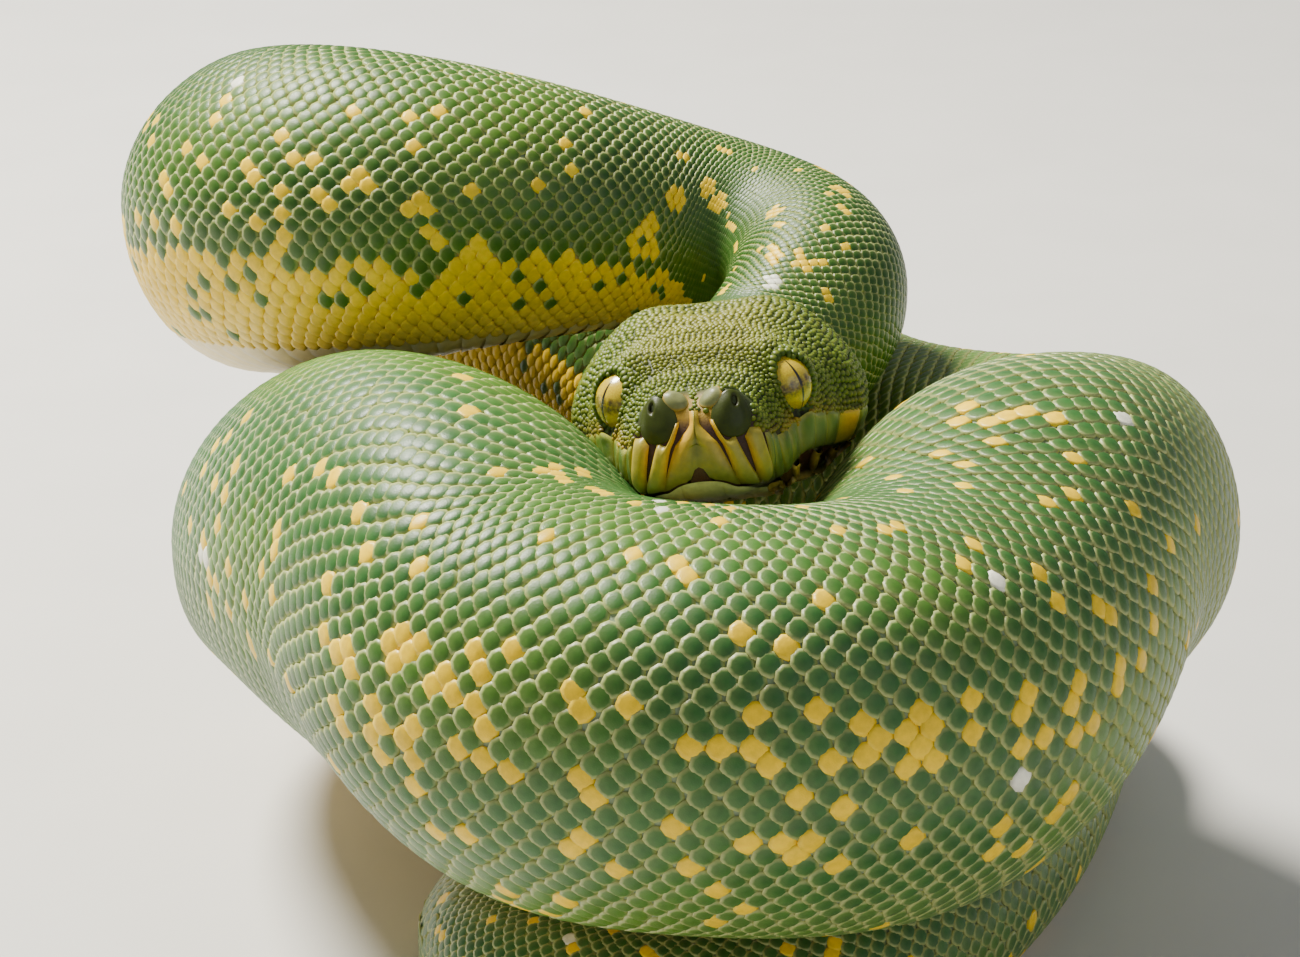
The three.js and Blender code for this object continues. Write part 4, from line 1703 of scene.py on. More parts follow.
# ---------------------------------------------------------------- the head
@dataclass
class Eye:
    """One eye: a smooth ball turned outwards behind its opening."""

    form: SnakeForm
    side: Side
    outward: float = 42.0
    upward: float = 6.0
    lean: float = 14.0
    open_across: float = 41.0
    open_up: float = 60.0
    segments: int = 96
    rings: int = 64
    ball_radius: float = 4.2
    bulge: float = 0.03
    map_radius: float = 0.48

    def centre(self) -> Array:
        """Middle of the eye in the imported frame."""
        head = self.form.head
        return head.world(np.array(head.eye_centre) * (self.side, 1, 1)) + self.form.shift

    def axes(self) -> tuple[Array, Array, Array]:
        """Directions across the eye, up it and out of it."""
        out, up = math.radians(self.outward), math.radians(self.upward)
        flat = math.cos(up)
        ahead = (self.side * math.sin(out) * flat, -math.cos(out) * flat, math.sin(up))
        gaze = self.form.head.direction(ahead)
        lean = math.radians(self.lean) * self.side
        level = unit(np.cross(self.form.head.up, gaze))
        across = level * math.cos(lean) + np.cross(gaze, level) * math.sin(lean)
        return across, np.cross(gaze, across), gaze

    def opening(self, turn: Array) -> Array:
        """Angle from the gaze to the edge of the eye's opening, by the turn round it."""
        wide, high = math.radians(self.open_across), math.radians(self.open_up)
        return 1 / np.sqrt((np.cos(turn) / wide) ** 2 + (np.sin(turn) / high) ** 2)

    def shares(self, points: Array) -> tuple[Array, Array]:
        """How far points are from the eye and how far out of its opening, 1 at its edge."""
        away = points - self.centre()
        across, up, gaze = self.axes()
        heading = unit(away)
        polar = np.arccos(np.clip(heading @ gaze, -1, 1))
        turn = np.arctan2(heading @ up, heading @ across)
        return np.linalg.norm(away, axis=-1), polar / self.opening(turn)

    def build(self, finishes: Finishes) -> Piece:
        """Makes the ball with its lens coordinates."""
        piece, local = Pieces.ball(self.side.named("eye_ball"), self.segments, self.rings)
        bulge = 1 + self.bulge * np.maximum(local[:, 2], 0) ** 6
        lens = (local * bulge[:, None] * self.ball_radius) @ np.stack(self.axes())
        Pieces.shape(piece, self.centre() + lens)
        layer = piece.data.attributes.new(name=LENS, type="FLOAT_VECTOR", domain="POINT")
        layer.data.foreach_set("vector", local.ravel())
        turn = np.arctan2(local[:, 1], local[:, 0])
        radius = np.arccos(np.clip(local[:, 2], -1, 1)) / math.pi * self.map_radius
        middle_out = np.stack([np.cos(turn), np.sin(turn)], axis=-1) * radius[:, None]
        Pieces.bake_map(piece.data, 0.5 + middle_out)
        Pieces.hand_over(piece, finishes.eye, Slot.EYE, self.side.named("eye"))
        return piece


@dataclass(frozen=True)
class EyeRing:
    """One ring of scales round an eye: how far outside the opening, in radians, and how many."""

    margin: float
    count: int
    stagger: float


@dataclass
class HeadBeads:
    """Small bead scales over the crown, cheeks and throat, and the rings round the eyes."""

    form: SnakeForm
    pitch: float = 0.96
    front_pitch: float = 0.8
    rear_pitch: float = 1.12
    pitch_growth: Rise = Rise(20, 14)
    first_station: float = 0.02
    last_station: float = 52.0
    samples: int = 2600
    circle_samples: int = 361
    fewest: int = 6
    least_station: float = 0.06
    lap: float = 0.52
    profile_angle: float = 1.1
    row_spacing: float = 0.9
    wander: float = 0.12
    length_limits: Pair = (0.38, 0.6)
    eye_gap: float = 0.35
    eye_clearance: float = 1.9
    eye_share: float = 0.93
    sides: int = 8
    tilt: float = 0.13
    lip_below: float = 3.0
    cheek_drop: Rise = Rise(10, 3)
    ring_lift: float = 0.3
    map_border: float = 0.004
    rings: tuple[EyeRing, ...] = (
        EyeRing(0.05, 30, 0.0), EyeRing(0.23, 31, 0.5), EyeRing(0.42, 32, 0.5),
    )

    def lattice(self) -> Lattice:
        """Places of the beads, ring by ring from the snout to the neck."""
        random = np.random.default_rng(Seed.BEAD_PLACES)
        fine = np.linspace(self.first_station, self.last_station, self.samples)
        profile = travelled(self.form.point(fine, np.full(fine.shape, self.profile_angle)))
        growth = self.front_pitch + (self.rear_pitch - self.front_pitch) * self.pitch_growth.at(fine)
        pitches = self.pitch * growth
        steps = np.diff(profile) / pitches[1:] / self.row_spacing
        before = np.concatenate([[0], np.cumsum(steps)])
        circle = np.linspace(-math.pi, math.pi, self.circle_samples)
        rows: list[tuple[Array, ...]] = []
        for at in np.arange(self.row_spacing, before[-1] - 1):
            station, after = np.interp([at, at + 1], before, fine)
            pitch = np.interp(station, fine, pitches)
            length = travelled(self.form.point(np.full(circle.shape, station), circle))
            count = max(self.fewest, int(length[-1] / pitch))
            offset = random.random()
            spread = np.arange(count) + offset + self.wander * random.normal(size=count)
            gap = np.full(count, after - station)
            shifted = station + self.wander * gap * random.normal(size=count)
            angle = np.interp(np.mod(spread / count, 1) * length[-1], length, circle)
            rows.append((shifted, angle, gap, np.full(count, pitch)))
        station, angle, gap, size = (np.concatenate(column) for column in zip(*rows))
        spots = self.form.spots(np.maximum(station, self.least_station), angle)
        self.lift_off_eyes(spots)
        reach = self.lap * (gap * spots.along_stretch)
        long = size * np.clip(reach / size, *self.length_limits)
        free = self.free(spots)
        return Lattice(spots.picked(free), long[free], size[free])

    def lift_off_eyes(self, spots: Spots) -> None:
        """Moves places that would lie in an eyeball out to the skin that closes over it."""
        for side in Side:
            eye = Eye(self.form, side)
            radius = self.form.head.eye_radius + self.eye_gap
            distance, share = eye.shares(spots.place)
            sunk = (distance < radius) & (share > self.eye_share)
            normal = unit(spots.place[sunk] - eye.centre())
            along = spots.along[sunk]
            along = unit(along - normal * np.sum(along * normal, axis=-1, keepdims=True))
            spots.place[sunk] = eye.centre() + normal * radius
            spots.normal[sunk], spots.along[sunk] = normal, along
            spots.around[sunk] = np.cross(normal, along)

    def free(self, spots: Spots) -> Array:
        """Which places are clear of the eyes, the lip plates and the nasal pads."""
        y, local, level = self.form.head_places(spots)
        reach = np.abs(local[:, 0]) + REACH_SLOPE * y
        top = eased(UPPER_LIP_TOPS, reach) - 0.1 - 0.6 * self.cheek_drop.at(y)
        clear = ~((level > -self.lip_below) & (level < top) & (reach < UPPER_LIP_END))
        for side in Side:
            distance, share = Eye(self.form, side).shares(spots.place)
            near = distance < self.form.head.eye_radius + self.eye_clearance
            clear &= ~(near & (share < self.eye_share))
            for plate in NASAL_PLATES:
                away = (local - np.array(plate.at) * (side, 1, 1))[:, ::2]
                flat = np.linalg.norm(away / np.array(plate.radii), axis=-1)
                clear &= (flat > plate.margin) | (local[:, 1] > NOSE_DEPTH)
        return clear

    def ring_lattice(self) -> Lattice:
        """Places of the scales round the eyes."""
        rows: list[tuple] = []
        for side in Side:
            eye = Eye(self.form, side)
            across, up, gaze = eye.axes()
            for ring in self.rings:
                for index in range(ring.count):
                    turn = 2 * math.pi * (index + ring.stagger) / ring.count
                    polar = float(eye.opening(np.array(turn))) + ring.margin
                    flat = across * math.cos(turn) + up * math.sin(turn)
                    normal = gaze * math.cos(polar) + flat * math.sin(polar)
                    along = -gaze * math.sin(polar) + flat * math.cos(polar)
                    brow = max(math.sin(turn), 0)
                    lift = self.ring_lift + 0.5 * brow + 0.6 * ring.margin
                    radius = self.form.head.eye_radius + lift
                    wide = math.pi * radius * math.sin(polar) / ring.count * 1.15
                    around = np.cross(normal, along)
                    place = eye.centre() + normal * radius
                    rows.append((place, along, around, normal, 0.5 + 0.08 * brow, wide))
        place, along, around, normal, long, wide = (np.array(column) for column in zip(*rows))
        station = np.linspace(0.02, 0.3, len(long)) * self.form.head_end
        angle, stretch = np.full(len(long), 0.99 * 2 * math.pi), np.ones(len(long))
        spots = Spots(station, angle, place, along, around, normal, stretch, stretch)
        return Lattice(spots, long, wide)

    def build(self, finishes: Finishes) -> Piece:
        """Makes the beads and eye rings as one piece."""
        template = Workshop().domed(self.sides)
        beads, rings = self.lattice(), self.ring_lattice()
        random = np.random.default_rng(Seed.BEAD_SIZES)
        beads.long = beads.long * random.uniform(0.96, 1.1, len(beads.long))
        beads.wide = beads.wide * random.uniform(0.47, 0.53, len(beads.wide))
        middle = self.colours(beads.spots, random)
        ringed = np.tile(PALETTE.crown.linear() * 0.9, (len(rings.long), 1))
        middle = np.concatenate([middle, ringed])[:, None]
        # Each bead's middle is lightened as a painted highlight.
        pale_share = template.by_level(0.0, 0.0, 0.08, 0.22)
        colours = mixed(middle, PALETTE.bead_rim.linear(), pale_share)
        every = beads.joined(rings)
        heights = template.by_level(-0.5, -0.16, 0.02, 0.1) + self.tilt * template.corners[:, 0]
        roots = unwrapped(every.spots, self.form.head_end)
        patches = template.patches(np.clip(roots, self.map_border, 1 - self.map_border))
        piece = template.joined("head_beads", template.laid(every, heights), colours, patches)
        Pieces.hand_over(piece, finishes.bead, Slot.HEAD)
        return piece

    def colours(self, spots: Spots, random: np.random.Generator) -> Array:
        """Bead colours: olive crown with a painted highlight on top, painted shade on the cheeks,
        yellow by the lips.

        Args:
            spots: Places of the beads.
            random: The draw that their tones go on with.

        Returns:
            One colour for each bead.
        """
        y, local, level = self.form.head_places(spots)
        # The top of the crown is lightened towards cream as a painted highlight.
        top_highlight = smooth((local[:, 2] - 9) / 6) * bell(local[:, 0], 9.5, 4)
        middle = mixed(PALETTE.crown.linear(), PALETTE.crown_highlight.linear(), top_highlight * 0.5)
        # The lower sides of the head are darkened as painted shade.
        low = smooth((9 - level) / 6) * (level > 0)
        middle = mixed(middle, PALETTE.cheek.linear(), low)
        near_lip = bell(level - 4, 2.5) * bell(y, 18)
        middle = mixed(middle, PALETTE.lip_yellow.linear(), near_lip * 0.7)
        under = smooth((-level - 2.5) / 2)
        middle = mixed(middle, PALETTE.jaw.linear(), under * 0.8)
        rear = smooth((spots.station - 30) / 14) * (1 - under)
        middle = mixed(middle, PALETTE.back_green.linear(), rear * 0.7)
        return middle * random.uniform(0.72, 1.28, len(middle))[:, None]


@dataclass(frozen=True)
class NasalPlate:
    """One smooth scale of the nose: its place in the head's frame, half sizes and looks."""

    name: str
    at: Triple
    radii: Pair
    lean: float
    narrowing: float
    tint: Tint
    edge: Tint
    margin: float
    nostril: Pair | None = None


NASAL_PLATES = (
    NasalPlate(
        "nasal_pad", (4.85, 0, 7.3), (2.65, 3.2), -8, 0.2, PALETTE.pad, PALETTE.pad, 0.98,
        (0.15, 0.5),
    ),
    NasalPlate(
        "nose_plate", (2.1, 0, 9.6), (1.7, 1.8), -24, -0.1, PALETTE.pad_inner, PALETTE.seam, 1.0,
    ),
)
# How far behind the snout the nose's front reaches.
NOSE_DEPTH = 6


@dataclass
class NasalPads:
    """The large smooth scales on the nose, bent to the head's surface."""

    form: SnakeForm
    side: Side
    segments: int = 48
    ring_count: int = 32
    stations: tuple[float, float, int] = (0.02, 9, 140)
    angles: tuple[float, float, int] = (0, math.pi * 0.7, 220)
    inner_point: Triple = (0, 8.0, 5.0)
    nearest: int = 60
    neighbours: int = 6
    cloud_reach: float = 6.0
    lift: float = 0.5
    sunk_edge: float = 0.1
    sink: float = 0.5
    edge: Rise = Rise(0.93, 0.07)
    nostril_size: Pair = (0.14, 0.2)
    nostril_depth: float = 0.9

    def surface(self) -> tuple[Array, Array]:
        """Points and outward directions of the front of the head, in its own frame."""
        stations, angles = np.linspace(*self.stations), np.linspace(*self.angles)
        y, angle = np.meshgrid(stations, angles, indexing="ij")
        points = self.form.head.local(y, -angle)
        outward = unit(np.cross(np.gradient(points, axis=1), np.gradient(points, axis=0)))
        away = points - np.array(self.inner_point)
        outward *= np.sign(np.sum(outward * away, axis=-1, keepdims=True))
        return points.reshape(-1, 3), outward.reshape(-1, 3)

    def build(self, finishes: Finishes) -> list:
        """Makes both scales of one side."""
        points, outward = self.surface()
        return [self.plate(plate, points, outward, finishes) for plate in NASAL_PLATES]

    def axes(self, plate: NasalPlate, points: Array, outward: Array) -> tuple[Array, Array]:
        """Middle of a scale on the surface, and its directions across, up and outwards."""
        flat = np.linalg.norm((points - np.array(plate.at))[:, ::2], axis=-1)
        near = np.argsort(flat)[: self.nearest]
        front = near[points[near, 1] < NOSE_DEPTH]
        normal = unit(outward[front].mean(axis=0))
        across = unit(np.cross((0, 0, 1.0), normal))
        across = across * np.sign(across[0])
        up = np.cross(normal, across)
        return points[front[0]], np.stack([across, up * np.sign(up[2]), normal])

    def heights(self, flat: Array, cloud: Array) -> Array:
        """Heights of the surface at places on a scale's plane, from its nearest points."""
        gaps = (flat[:, :1] - cloud[None, :, 0]) ** 2 + (flat[:, 1:] - cloud[None, :, 1]) ** 2
        closest = np.argpartition(gaps, self.neighbours, axis=1)[:, : self.neighbours]
        weight = 1 / (np.take_along_axis(gaps, closest, axis=1) + 0.01)
        return np.sum(cloud[closest, 2] * weight, axis=1) / weight.sum(axis=1)

    def plate(self, plate: NasalPlate, points: Array, outward: Array, finishes: Finishes) -> Piece:
        """Makes one scale.

        Args:
            plate: What the scale is like.
            points: Points of the head's surface.
            outward: Its outward directions.
            finishes: The materials.

        Returns:
            The piece.
        """
        centre, axes = self.axes(plate, points, outward)
        piece, sphere = Pieces.ball(self.side.named(plate.name), self.segments, self.ring_count)
        front = sphere[:, 2] > 0
        share = np.linalg.norm(sphere[:, :2], axis=1)
        spread = np.where(front, np.sqrt(np.clip(1 - sphere[:, 2], 0, 1)), share)
        flat = unit(sphere[:, :2] + 1e-9) * spread[:, None]
        a = flat[:, 0] * plate.radii[0] * (1 - plate.narrowing * flat[:, 1])
        b = flat[:, 1] * plate.radii[1]
        cosine, sine = math.cos(math.radians(plate.lean)), math.sin(math.radians(plate.lean))
        a, b = a * cosine - b * sine, a * sine + b * cosine
        away = points - centre
        kept = np.linalg.norm(away, axis=1) < self.cloud_reach
        kept &= np.sum(outward * axes[2], axis=1) > 0.1
        height = self.heights(np.stack([a, b], axis=-1), away[kept] @ axes.T)
        rise = (1 - np.clip(share, 0, 1) ** 5) * self.lift
        lift = np.where(front, rise - self.sunk_edge, -self.sink)
        dent = np.zeros(len(a))
        if plate.nostril:
            offset = (flat - np.array(plate.nostril)) / np.array(self.nostril_size)
            dent = bell(np.linalg.norm(offset, axis=1), 1, 3) * front
        off = height + (lift - dent * self.nostril_depth)
        local = centre + axes[0] * a[:, None] + axes[1] * b[:, None] + axes[2] * off[:, None]
        local[:, 0] *= self.side
        Pieces.shape(piece, self.form.head.world(local) + self.form.shift)
        tone = np.tile(plate.tint.linear(), (len(local), 1))
        tone = mixed(tone, plate.edge.linear(), self.edge.at(share) * 0.8)
        # The nostril's dent is darkened as painted shade in the hole.
        tone = mixed(tone, PALETTE.pit.linear() * 0.3, np.clip(dent * 1.4, 0, 1))
        Pieces.tint(piece.data, tone)
        turn = np.mod(np.arctan2(sphere[:, 1], sphere[:, 0]) / (2 * math.pi), 1)
        ring = np.arccos(np.clip(sphere[:, 2], -1, 1)) / math.pi
        Pieces.bake_map(piece.data, np.stack([turn, ring], axis=-1))
        Pieces.hand_over(piece, finishes.pad, Slot.HEAD)
        return piece


# ---------------------------------------------------------------- the lips
class Lip(Enum):
    """Which lip a row of plates belongs to."""

    UPPER = "upper"
    LOWER = "lower"


# Tops of the upper plates over the mouth line, by distance along the lip from its middle.
UPPER_LIP_TOPS = (
    (0, 10.4), (4.9, 10.0), (7.9, 8.4), (10.9, 7.0), (14, 6.2), (19, 5.2), (27, 4.8), (40, 4.4),
    (48, 3.4), (60, 3.0),
)
UPPER_LIP_END = 46.5
REACH_SLOPE = 0.6
# Edges of the plates by distance along the lip, slots between the upper ones, pits in the lower.
UPPER_EDGES = (4.9, 7.9, 10.9, 12.9, 15.0, 17.3, 20.2, 24.3, 28.8, 34.0, 39.4, 43.8, 46.8)
UPPER_SLOTS = (0.34, 0.62, 0.3, 0.12, 0.08)
YELLOW_PLATE = 9
LOWER_EDGES = (2.6, 6.6, 10.8, 14.9, 19.4, 26.8, 34.6, 40.6, 46.6)
LOWER_PITS = (0, 0, 0.4, 0.75, 1, 1, 1, 0.6)


@dataclass
class LipCurtain:
    """The sides of the head unrolled: a distance along the lip and a height above the mouth."""

    form: SnakeForm
    front_stations: int = 60
    side_stations: int = 160
    angle_range: tuple[float, float, int] = (0.05, math.pi - 0.02, 260)
    level_range: tuple[float, float, int] = (-6, 12, 73)
    reach_range: tuple[float, float, int] = (0, 52, 209)
    probe: float = 0.15

    def __post_init__(self) -> None:
        """Slices the head level by level and measures each slice from the snout backwards."""
        head = self.form.head
        blunt = head.snout_rounding * head.span
        front = blunt * (1 - np.cos(np.linspace(0.02, math.pi / 2, self.front_stations)))
        rest = np.linspace(blunt, self.form.head_reach, self.side_stations)[1:]
        stations, angles = np.concatenate([front, rest]), np.linspace(*self.angle_range)
        grid_y, grid_a = np.meshgrid(stations, angles, indexing="ij")
        local = head.local(grid_y, -grid_a)
        self.levels = np.linspace(*self.level_range)
        self.reach = np.linspace(*self.reach_range)
        self.table = np.array([self.slice(local, level) for level in self.levels])

    def slice(self, local: Array, level: float) -> Array:
        """One slice of the head, read at even distances from its middle.

        Args:
            local: Points of the surface in the head's frame, by station and angle.
            level: Height of the slice.

        Returns:
            Points along the slice.
        """
        points = []
        for ring in local:
            if not ring[:, 2].min() < level < ring[:, 2].max():
                continue
            x, y, z = ring[np.argsort(-ring[:, 2])].T
            points.append((np.interp(-level, -z, x), np.interp(-level, -z, y), level))
        line = np.vstack([[0, points[0][1] - 0.05, level], points])
        gone = travelled(line)
        return np.stack([np.interp(self.reach, gone, line[:, c]) for c in range(3)], axis=-1)

    def local(self, reach: Array, level: Array) -> Array:
        """Points of the lip in the head's frame, by distance from the middle and by height."""
        column = np.clip(np.abs(reach) / self.reach[1], 0, len(self.reach) - 1.001)
        step = self.levels[1] - self.levels[0]
        row = np.clip((level - self.levels[0]) / step, 0, len(self.levels) - 1.001)
        c, r = column.astype(int), row.astype(int)
        cu, ru = (column - c)[..., None], (row - r)[..., None]
        near = self.table[r, c] * (1 - cu) + self.table[r, c + 1] * cu
        far = self.table[r + 1, c] * (1 - cu) + self.table[r + 1, c + 1] * cu
        point = near * (1 - ru) + far * ru
        point[..., 0] *= np.where(reach < 0, -1, 1)
        return point

    def place(self, reach: Array, above: Array, lift: Array) -> Array:
        """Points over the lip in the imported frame.

        Args:
            reach: Distances from the middle, positive to the viewer's right.
            above: Heights above the mouth line.
            lift: Heights over the surface.

        Returns:
            Points in millimetres.
        """
        step = self.probe
        level = above + self.form.head.mouth_level(self.local(reach, above)[..., 1])
        ahead = self.local(reach + step, level) - self.local(reach - step, level)
        higher = self.local(reach, level + step) - self.local(reach, level - step)
        point = self.local(reach, level) + unit(np.cross(ahead, higher)) * lift[..., None]
        return self.form.head.world(point) + self.form.shift


@dataclass
class LipPlate:
    """One plate of a lip: where it starts and ends, its height and its looks."""

    start: float
    end: float
    low: float
    high: float
    middle: Tint
    edge: Tint
    foot: Tint
    pit: float = 0.0
    first_slot: float = 0.0
    last_slot: float = 0.0
    swell: float = 0.5


@dataclass
class LipPlates:
    """The rows of plates along both lips, with the heat pits in and between them."""

    curtain: LipCurtain
    lip: Lip
    grid: int = 16
    fan: float = 3.9
    fan_start: float = 3.5
    fan_reach: float = 13.0
    sunk_edge: float = -0.17
    slot: Rise = Rise(1.7, 4.3)
    notch_height: float = 0.8
    notch_half: float = 1.2
    upper_foot: float = 0.03
    middle_top: float = 10.6
    lower_edge: float = -0.1
    lower_foot: float = -3.7
    lower_out: float = 0.9
    pit_depth: float = 0.9
    groove_depth: float = 0.8
    groove_floor: float = 0.05

    def rows(self) -> list[tuple[LipPlate, Side]]:
        """Every plate and its side: the one in the middle, then the rest from front to back."""
        if self.lip is Lip.UPPER:
            middle, rest = self.upper_rows()
        else:
            middle, rest = self.lower_rows()
        return [(middle, Side.RIGHT)] + [(plate, side) for plate in rest for side in Side]

    def upper_rows(self) -> tuple[LipPlate, list[LipPlate]]:
        """The upper plate in the middle, and those of one side from the snout backwards."""
        slots = UPPER_SLOTS + (0.0,) * len(UPPER_EDGES)
        half, front_looks = UPPER_EDGES[0], (PALETTE.lip_pale, PALETTE.lip_yellow, PALETTE.lip_grey)
        middle = LipPlate(
            -half, half, self.upper_foot, self.middle_top, *front_looks, first_slot=slots[0],
            last_slot=slots[0], swell=0.7,
        )
        rest = []
        for index, (start, end) in enumerate(zip(UPPER_EDGES, UPPER_EDGES[1:])):
            looks = front_looks
            if index == YELLOW_PLATE:
                looks = (PALETTE.lip_yellow, PALETTE.lip_pale, PALETTE.lip_pale)
            elif index > 1:
                looks = (PALETTE.lip_green, PALETTE.lip_edge, PALETTE.lip_grey)
            high = float(eased(UPPER_LIP_TOPS, np.array((start + end) / 2)))
            rest.append(LipPlate(
                start, end, self.upper_foot, high, *looks, first_slot=slots[index],
                last_slot=slots[index + 1], swell=0.45 if index > 1 else 0.8,
            ))
        return middle, rest

    def lower_rows(self) -> tuple[LipPlate, list[LipPlate]]:
        """The lower plate in the middle, and those of one side from the chin backwards."""
        span, jaw = (self.lower_foot, self.lower_edge), PALETTE.jaw
        middle = LipPlate(-LOWER_EDGES[0], LOWER_EDGES[0], *span, jaw, jaw, jaw, swell=0.22)
        rest = []
        for start, end, pit in zip(LOWER_EDGES, LOWER_EDGES[1:], LOWER_PITS):
            own, swell = (PALETTE.jaw_cream, 0.45) if pit else (jaw, 0.22)
            rest.append(LipPlate(start, end, *span, own, own, jaw, pit=pit, swell=swell))
        return middle, rest

    def under_nose(self, reach: Array, high: float) -> Array:
        """Heights of the plates' tops, lowered where they would run over the nasal pads.

        Args:
            reach: Distances of the plates' corners from the middle, at the lip.
            high: The plate's own height.

        Returns:
            Heights above the mouth line.
        """
        pad = NASAL_PLATES[0]
        head = self.curtain.form.head
        top = np.full(reach.shape, float(high))
        for _ in range(6):
            point = self.curtain.local(self.fanned(reach, top), top - 2)
            level = head.mouth_level(np.maximum(point[..., 1], 0))
            point = self.curtain.local(self.fanned(reach, top), top + level)
            off = np.clip(np.abs(np.abs(point[..., 0]) - pad.at[0]) / pad.radii[0], 0, 1)
            foot = pad.at[2] - pad.radii[1] * np.sqrt(1 - off**2) * 0.94
            foot = np.where((off < 1) & (point[..., 1] < NOSE_DEPTH), foot, np.inf)
            top = 0.5 * top + 0.5 * np.clip(foot - level, 3.6, high)
        return top

    def fanned(self, reach: Array, above: Array) -> Array:
        """Distances from the middle, drawn together towards the nose."""
        pull = np.tanh(np.abs(reach) / self.fan_start) * bell(reach, self.fan_reach)
        pull = pull * self.fan * np.clip(above / 8, 0, 1.1)
        return np.sign(reach) * np.maximum(np.abs(reach) - pull, 0.12 * np.abs(reach))

    def outline(self, plate: LipPlate, u: Array, v: Array) -> tuple[Array, Array]:
        """Where a plate's corners lie along the lip and above the mouth line.

        Args:
            plate: The plate.
            u: Corners along the plate, from -1 to 1.
            v: Corners up the plate.

        Returns:
            Their distances from the middle and their heights.
        """
        upper, central = self.lip is Lip.UPPER, plate.start < 0
        reach = plate.start + (plate.end - plate.start) * (u + 1) / 2
        notch = self.notch_height * bell(reach, self.notch_half, 4)
        low = plate.low + notch * (central and upper)
        high = self.under_nose(reach, plate.high) if upper and not central else plate.high
        above = low + (high - low) * (v + 1) / 2
        wedge = np.clip((above - self.slot.start) / self.slot.width, 0, 1) ** 0.55
        slot = np.where(u > 0, plate.last_slot, plate.first_slot) * wedge
        reach = self.fanned(reach, above) - slot * np.sign(u) * np.abs(u) ** 1.5
        if central and upper:
            reach = reach * (1 - 0.55 * smooth((above - 6.5) / 2.5))
        return reach, above

    def shaped(self, plate: LipPlate, side: Side, u: Array, v: Array) -> tuple[Array, Array]:
        """Points and colours of one plate.

        Args:
            plate: The plate.
            side: Its side of the head.
            u: Corners along the plate, from -1 to 1.
            v: Corners up the plate.

        Returns:
            The corners in millimetres and their colours.
        """
        upper = self.lip is Lip.UPPER
        reach, above = self.outline(plate, u, v)
        bow = (1 - np.abs(u) ** 2.6) * (1 - np.abs(v) ** 6)
        lift = self.sunk_edge + plate.swell * np.maximum(bow, 0) ** 0.6
        central = plate.start < 0 and upper
        groove = bell(u, 0.3) * (1 - smooth((v - 0.2) / 0.5)) * central
        least = np.minimum(lift, self.groove_floor)
        lift = np.maximum(lift - self.groove_depth * groove, least)
        if not upper:
            lift = lift + self.lower_out * smooth(np.abs(reach) / 14)
        away = np.maximum(np.abs(u + 0.05) / 0.78, np.where(v > 0, 0, np.abs(v) / 0.45))
        pit = (1 - smooth((away - 0.8) / 0.3)) * plate.pit
        points = self.curtain.place(reach * side, above, lift - self.pit_depth * pit)
        crest = 0 if upper and plate.swell > 0.6 else np.maximum(v, 0) ** 6
        edge = np.maximum(np.abs(u) ** 3, crest)
        if upper and plate.first_slot > 0:
            edge = np.where(u > 0, edge * 0.5, edge * 1.1) + 0.25 * (u < -0.3)
        tone = np.tile(plate.middle.linear(), (len(u), 1))
        tone = mixed(tone, plate.edge.linear(), np.clip(edge * 0.8, 0, 1))
        foot = 1 - smooth((above - 0.2) / 3.6) if upper else smooth(-v) * 0.5
        tone = mixed(tone, plate.foot.linear(), np.maximum(foot * 0.85, groove * 0.8))
        # Pits are darkened as painted shade in their hollows.
        return points, mixed(tone, PALETTE.pit.linear(), np.clip(pit * 1.2, 0, 1))

    def build(self, finishes: Finishes) -> Piece:
        """Makes both sides' plates and the one in the middle as one piece."""
        template = Workshop().sheet(self.grid, self.grid)
        u, v = template.corners[:, 0], template.corners[:, 1]
        rows = self.rows()
        points, colours = zip(*(self.shaped(plate, side, u, v) for plate, side in rows))
        patches = [
            np.stack([(index + 0.5 + u * 0.42) / len(rows), 0.5 + v * 0.4], axis=-1)
            for index in range(len(rows))
        ]
        name = f"{self.lip.value}_lip_plates"
        piece = template.joined(name, np.array(points), np.array(colours), np.array(patches))
        Pieces.face_out(piece)
        slot = Slot.HEAD if self.lip is Lip.UPPER else Slot.JAW
        Pieces.hand_over(piece, finishes.plate, slot)
        return piece


# ---------------------------------------------------------------- the stage
@dataclass(frozen=True)
class Lamp:
    """A round soft light that points at the coil."""

    name: str
    place: Triple
    size: float
    power: float
    warmth: Triple
    aim: Triple = (0, 0, 0.06)

    def build(self) -> None:
        """Adds the light."""
        data = bpy.data.lights.new(self.name, "AREA")
        data.shape = "DISK"
        data.size, data.energy, data.color = self.size, self.power, self.warmth
        lamp = bpy.data.objects.new(self.name, data)
        lamp.location = self.place
        toward = Vector(self.aim) - Vector(self.place)
        lamp.rotation_euler = toward.to_track_quat("-Z", "Y").to_euler()
        bpy.context.scene.collection.objects.link(lamp)


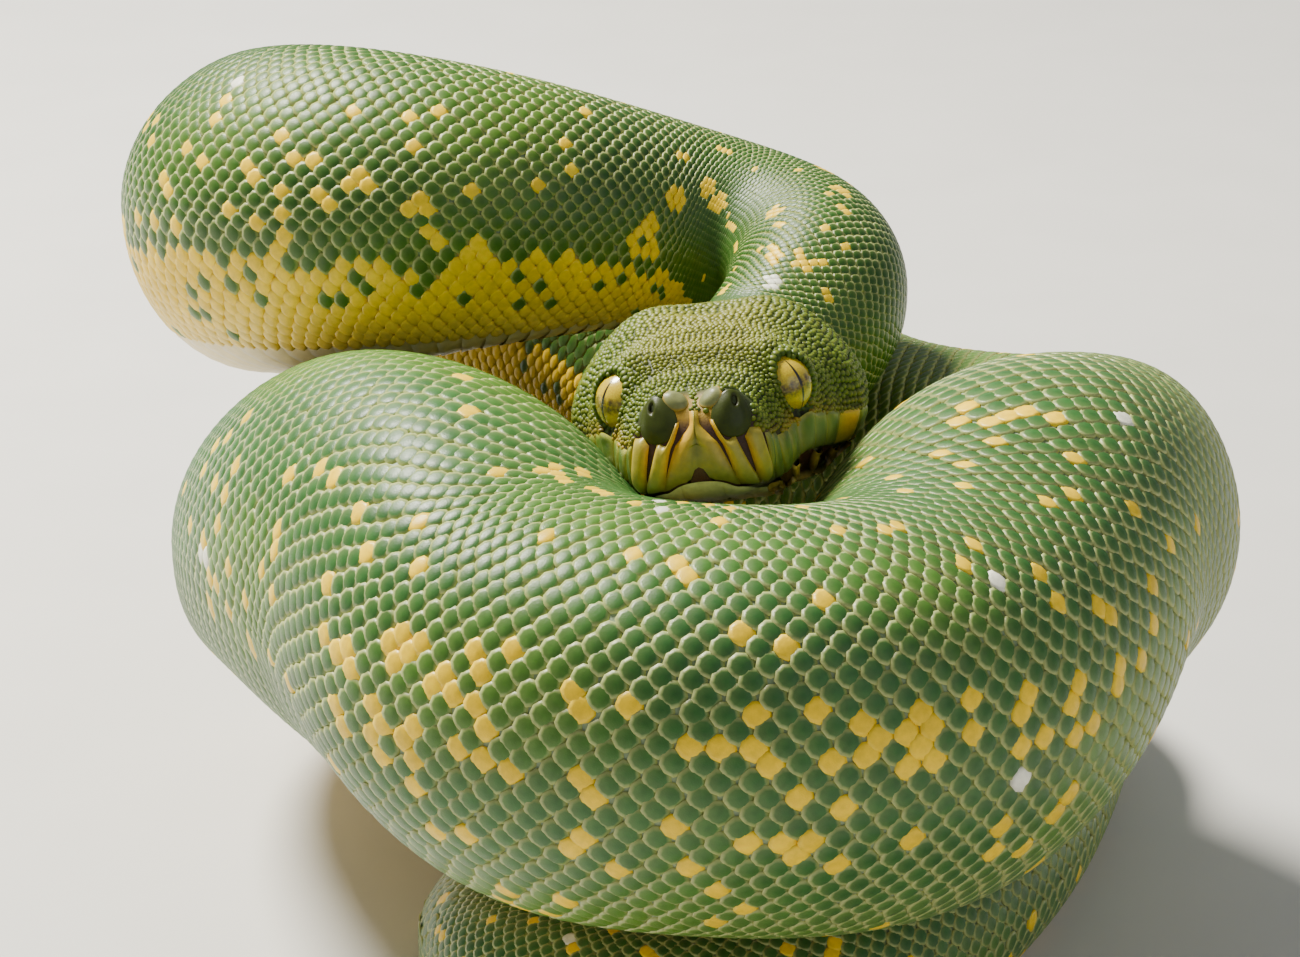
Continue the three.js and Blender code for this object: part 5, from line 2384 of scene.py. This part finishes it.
@dataclass(frozen=True)
class Stage:
    """A plain pale floor and soft studio light."""

    span: float = 6.0
    floor_tones: tuple[tuple[float, ...], ...] = ((0.62, 0.61, 0.58), (0.68, 0.67, 0.64))
    floor_grain: Pair = (40, 3)
    floor_roughness: float = 0.7
    sky: tuple[float, ...] = (0.92, 0.94, 0.97, 1)
    sky_level: float = 0.33
    lamps: tuple[Lamp, ...] = (
        Lamp("key", (-0.42, 0.34, 0.8), 0.3, 31.0, (1, 0.96, 0.86)),
        Lamp("fill", (0.7, -0.7, 0.5), 0.9, 1.4, (0.9, 0.96, 1)),
    )

    def floor(self) -> None:
        """Adds the floor with a faint, even grain."""
        Pieces.clear()
        bpy.ops.mesh.primitive_plane_add(size=self.span, location=(0, 0, 0))
        plane = bpy.context.object
        plane.name = "studio_floor"
        shader = Shader("studio_floor")
        tone = shader.blend(shader.noise(*self.floor_grain), *self.floor_tones)
        shader.link(tone, shader.surface.inputs["Base Color"])
        shader.surface.inputs["Roughness"].default_value = self.floor_roughness
        plane.data.materials.append(shader.material)

    def build(self) -> None:
        """Adds the floor, the lights and the pale surroundings."""
        self.floor()
        for lamp in self.lamps:
            lamp.build()
        world = bpy.data.worlds.new("studio")
        world.use_nodes = True
        background = world.node_tree.nodes["Background"]
        background.inputs["Color"].default_value = self.sky
        background.inputs["Strength"].default_value = self.sky_level
        bpy.context.scene.world = world


def flesh_nodes(frame: dict) -> list[str]:
    """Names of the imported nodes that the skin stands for."""
    return [name for name in frame["nodes"] if not name.startswith("eye_")]


def main() -> None:
    """Builds every piece in order and reports it."""
    logging.basicConfig(level=logging.INFO, format="%(message)s")
    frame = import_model()
    form = SnakeForm()
    camera = ViewCamera()
    camera.build(form.shift)
    Stage().build()
    LOG.info("camera, floor and lights")
    finishes = Finishes()
    scales = BodyScales(form)
    lattice = scales.lattice()
    markings = Markings(form, camera, lattice.spots)
    skin = Skin(form, markings, finishes).build(flesh_nodes(frame))
    LOG.info("skin: %d faces", len(skin.data.polygons))
    pieces = scales.build(lattice, markings, finishes)
    LOG.info("body scales: %d in %d pieces", len(lattice.long), len(pieces))
    scutes = BellyScutes(form).build(finishes)
    LOG.info("belly scutes: %d faces", len(scutes.data.polygons))
    beads = HeadBeads(form).build(finishes)
    LOG.info("head beads: %d faces", len(beads.data.polygons))
    curtain = LipCurtain(form)
    for lip in Lip:
        plates = LipPlates(curtain, lip).build(finishes)
        LOG.info("%s: %d faces", plates.name, len(plates.data.polygons))
    for side in Side:
        pads = NasalPads(form, side).build(finishes)
        eye = Eye(form, side).build(finishes)
        LOG.info("%d nose scales and %s", len(pads), eye.name)
    Pieces.clear()


if __name__ == "__main__":
    main()
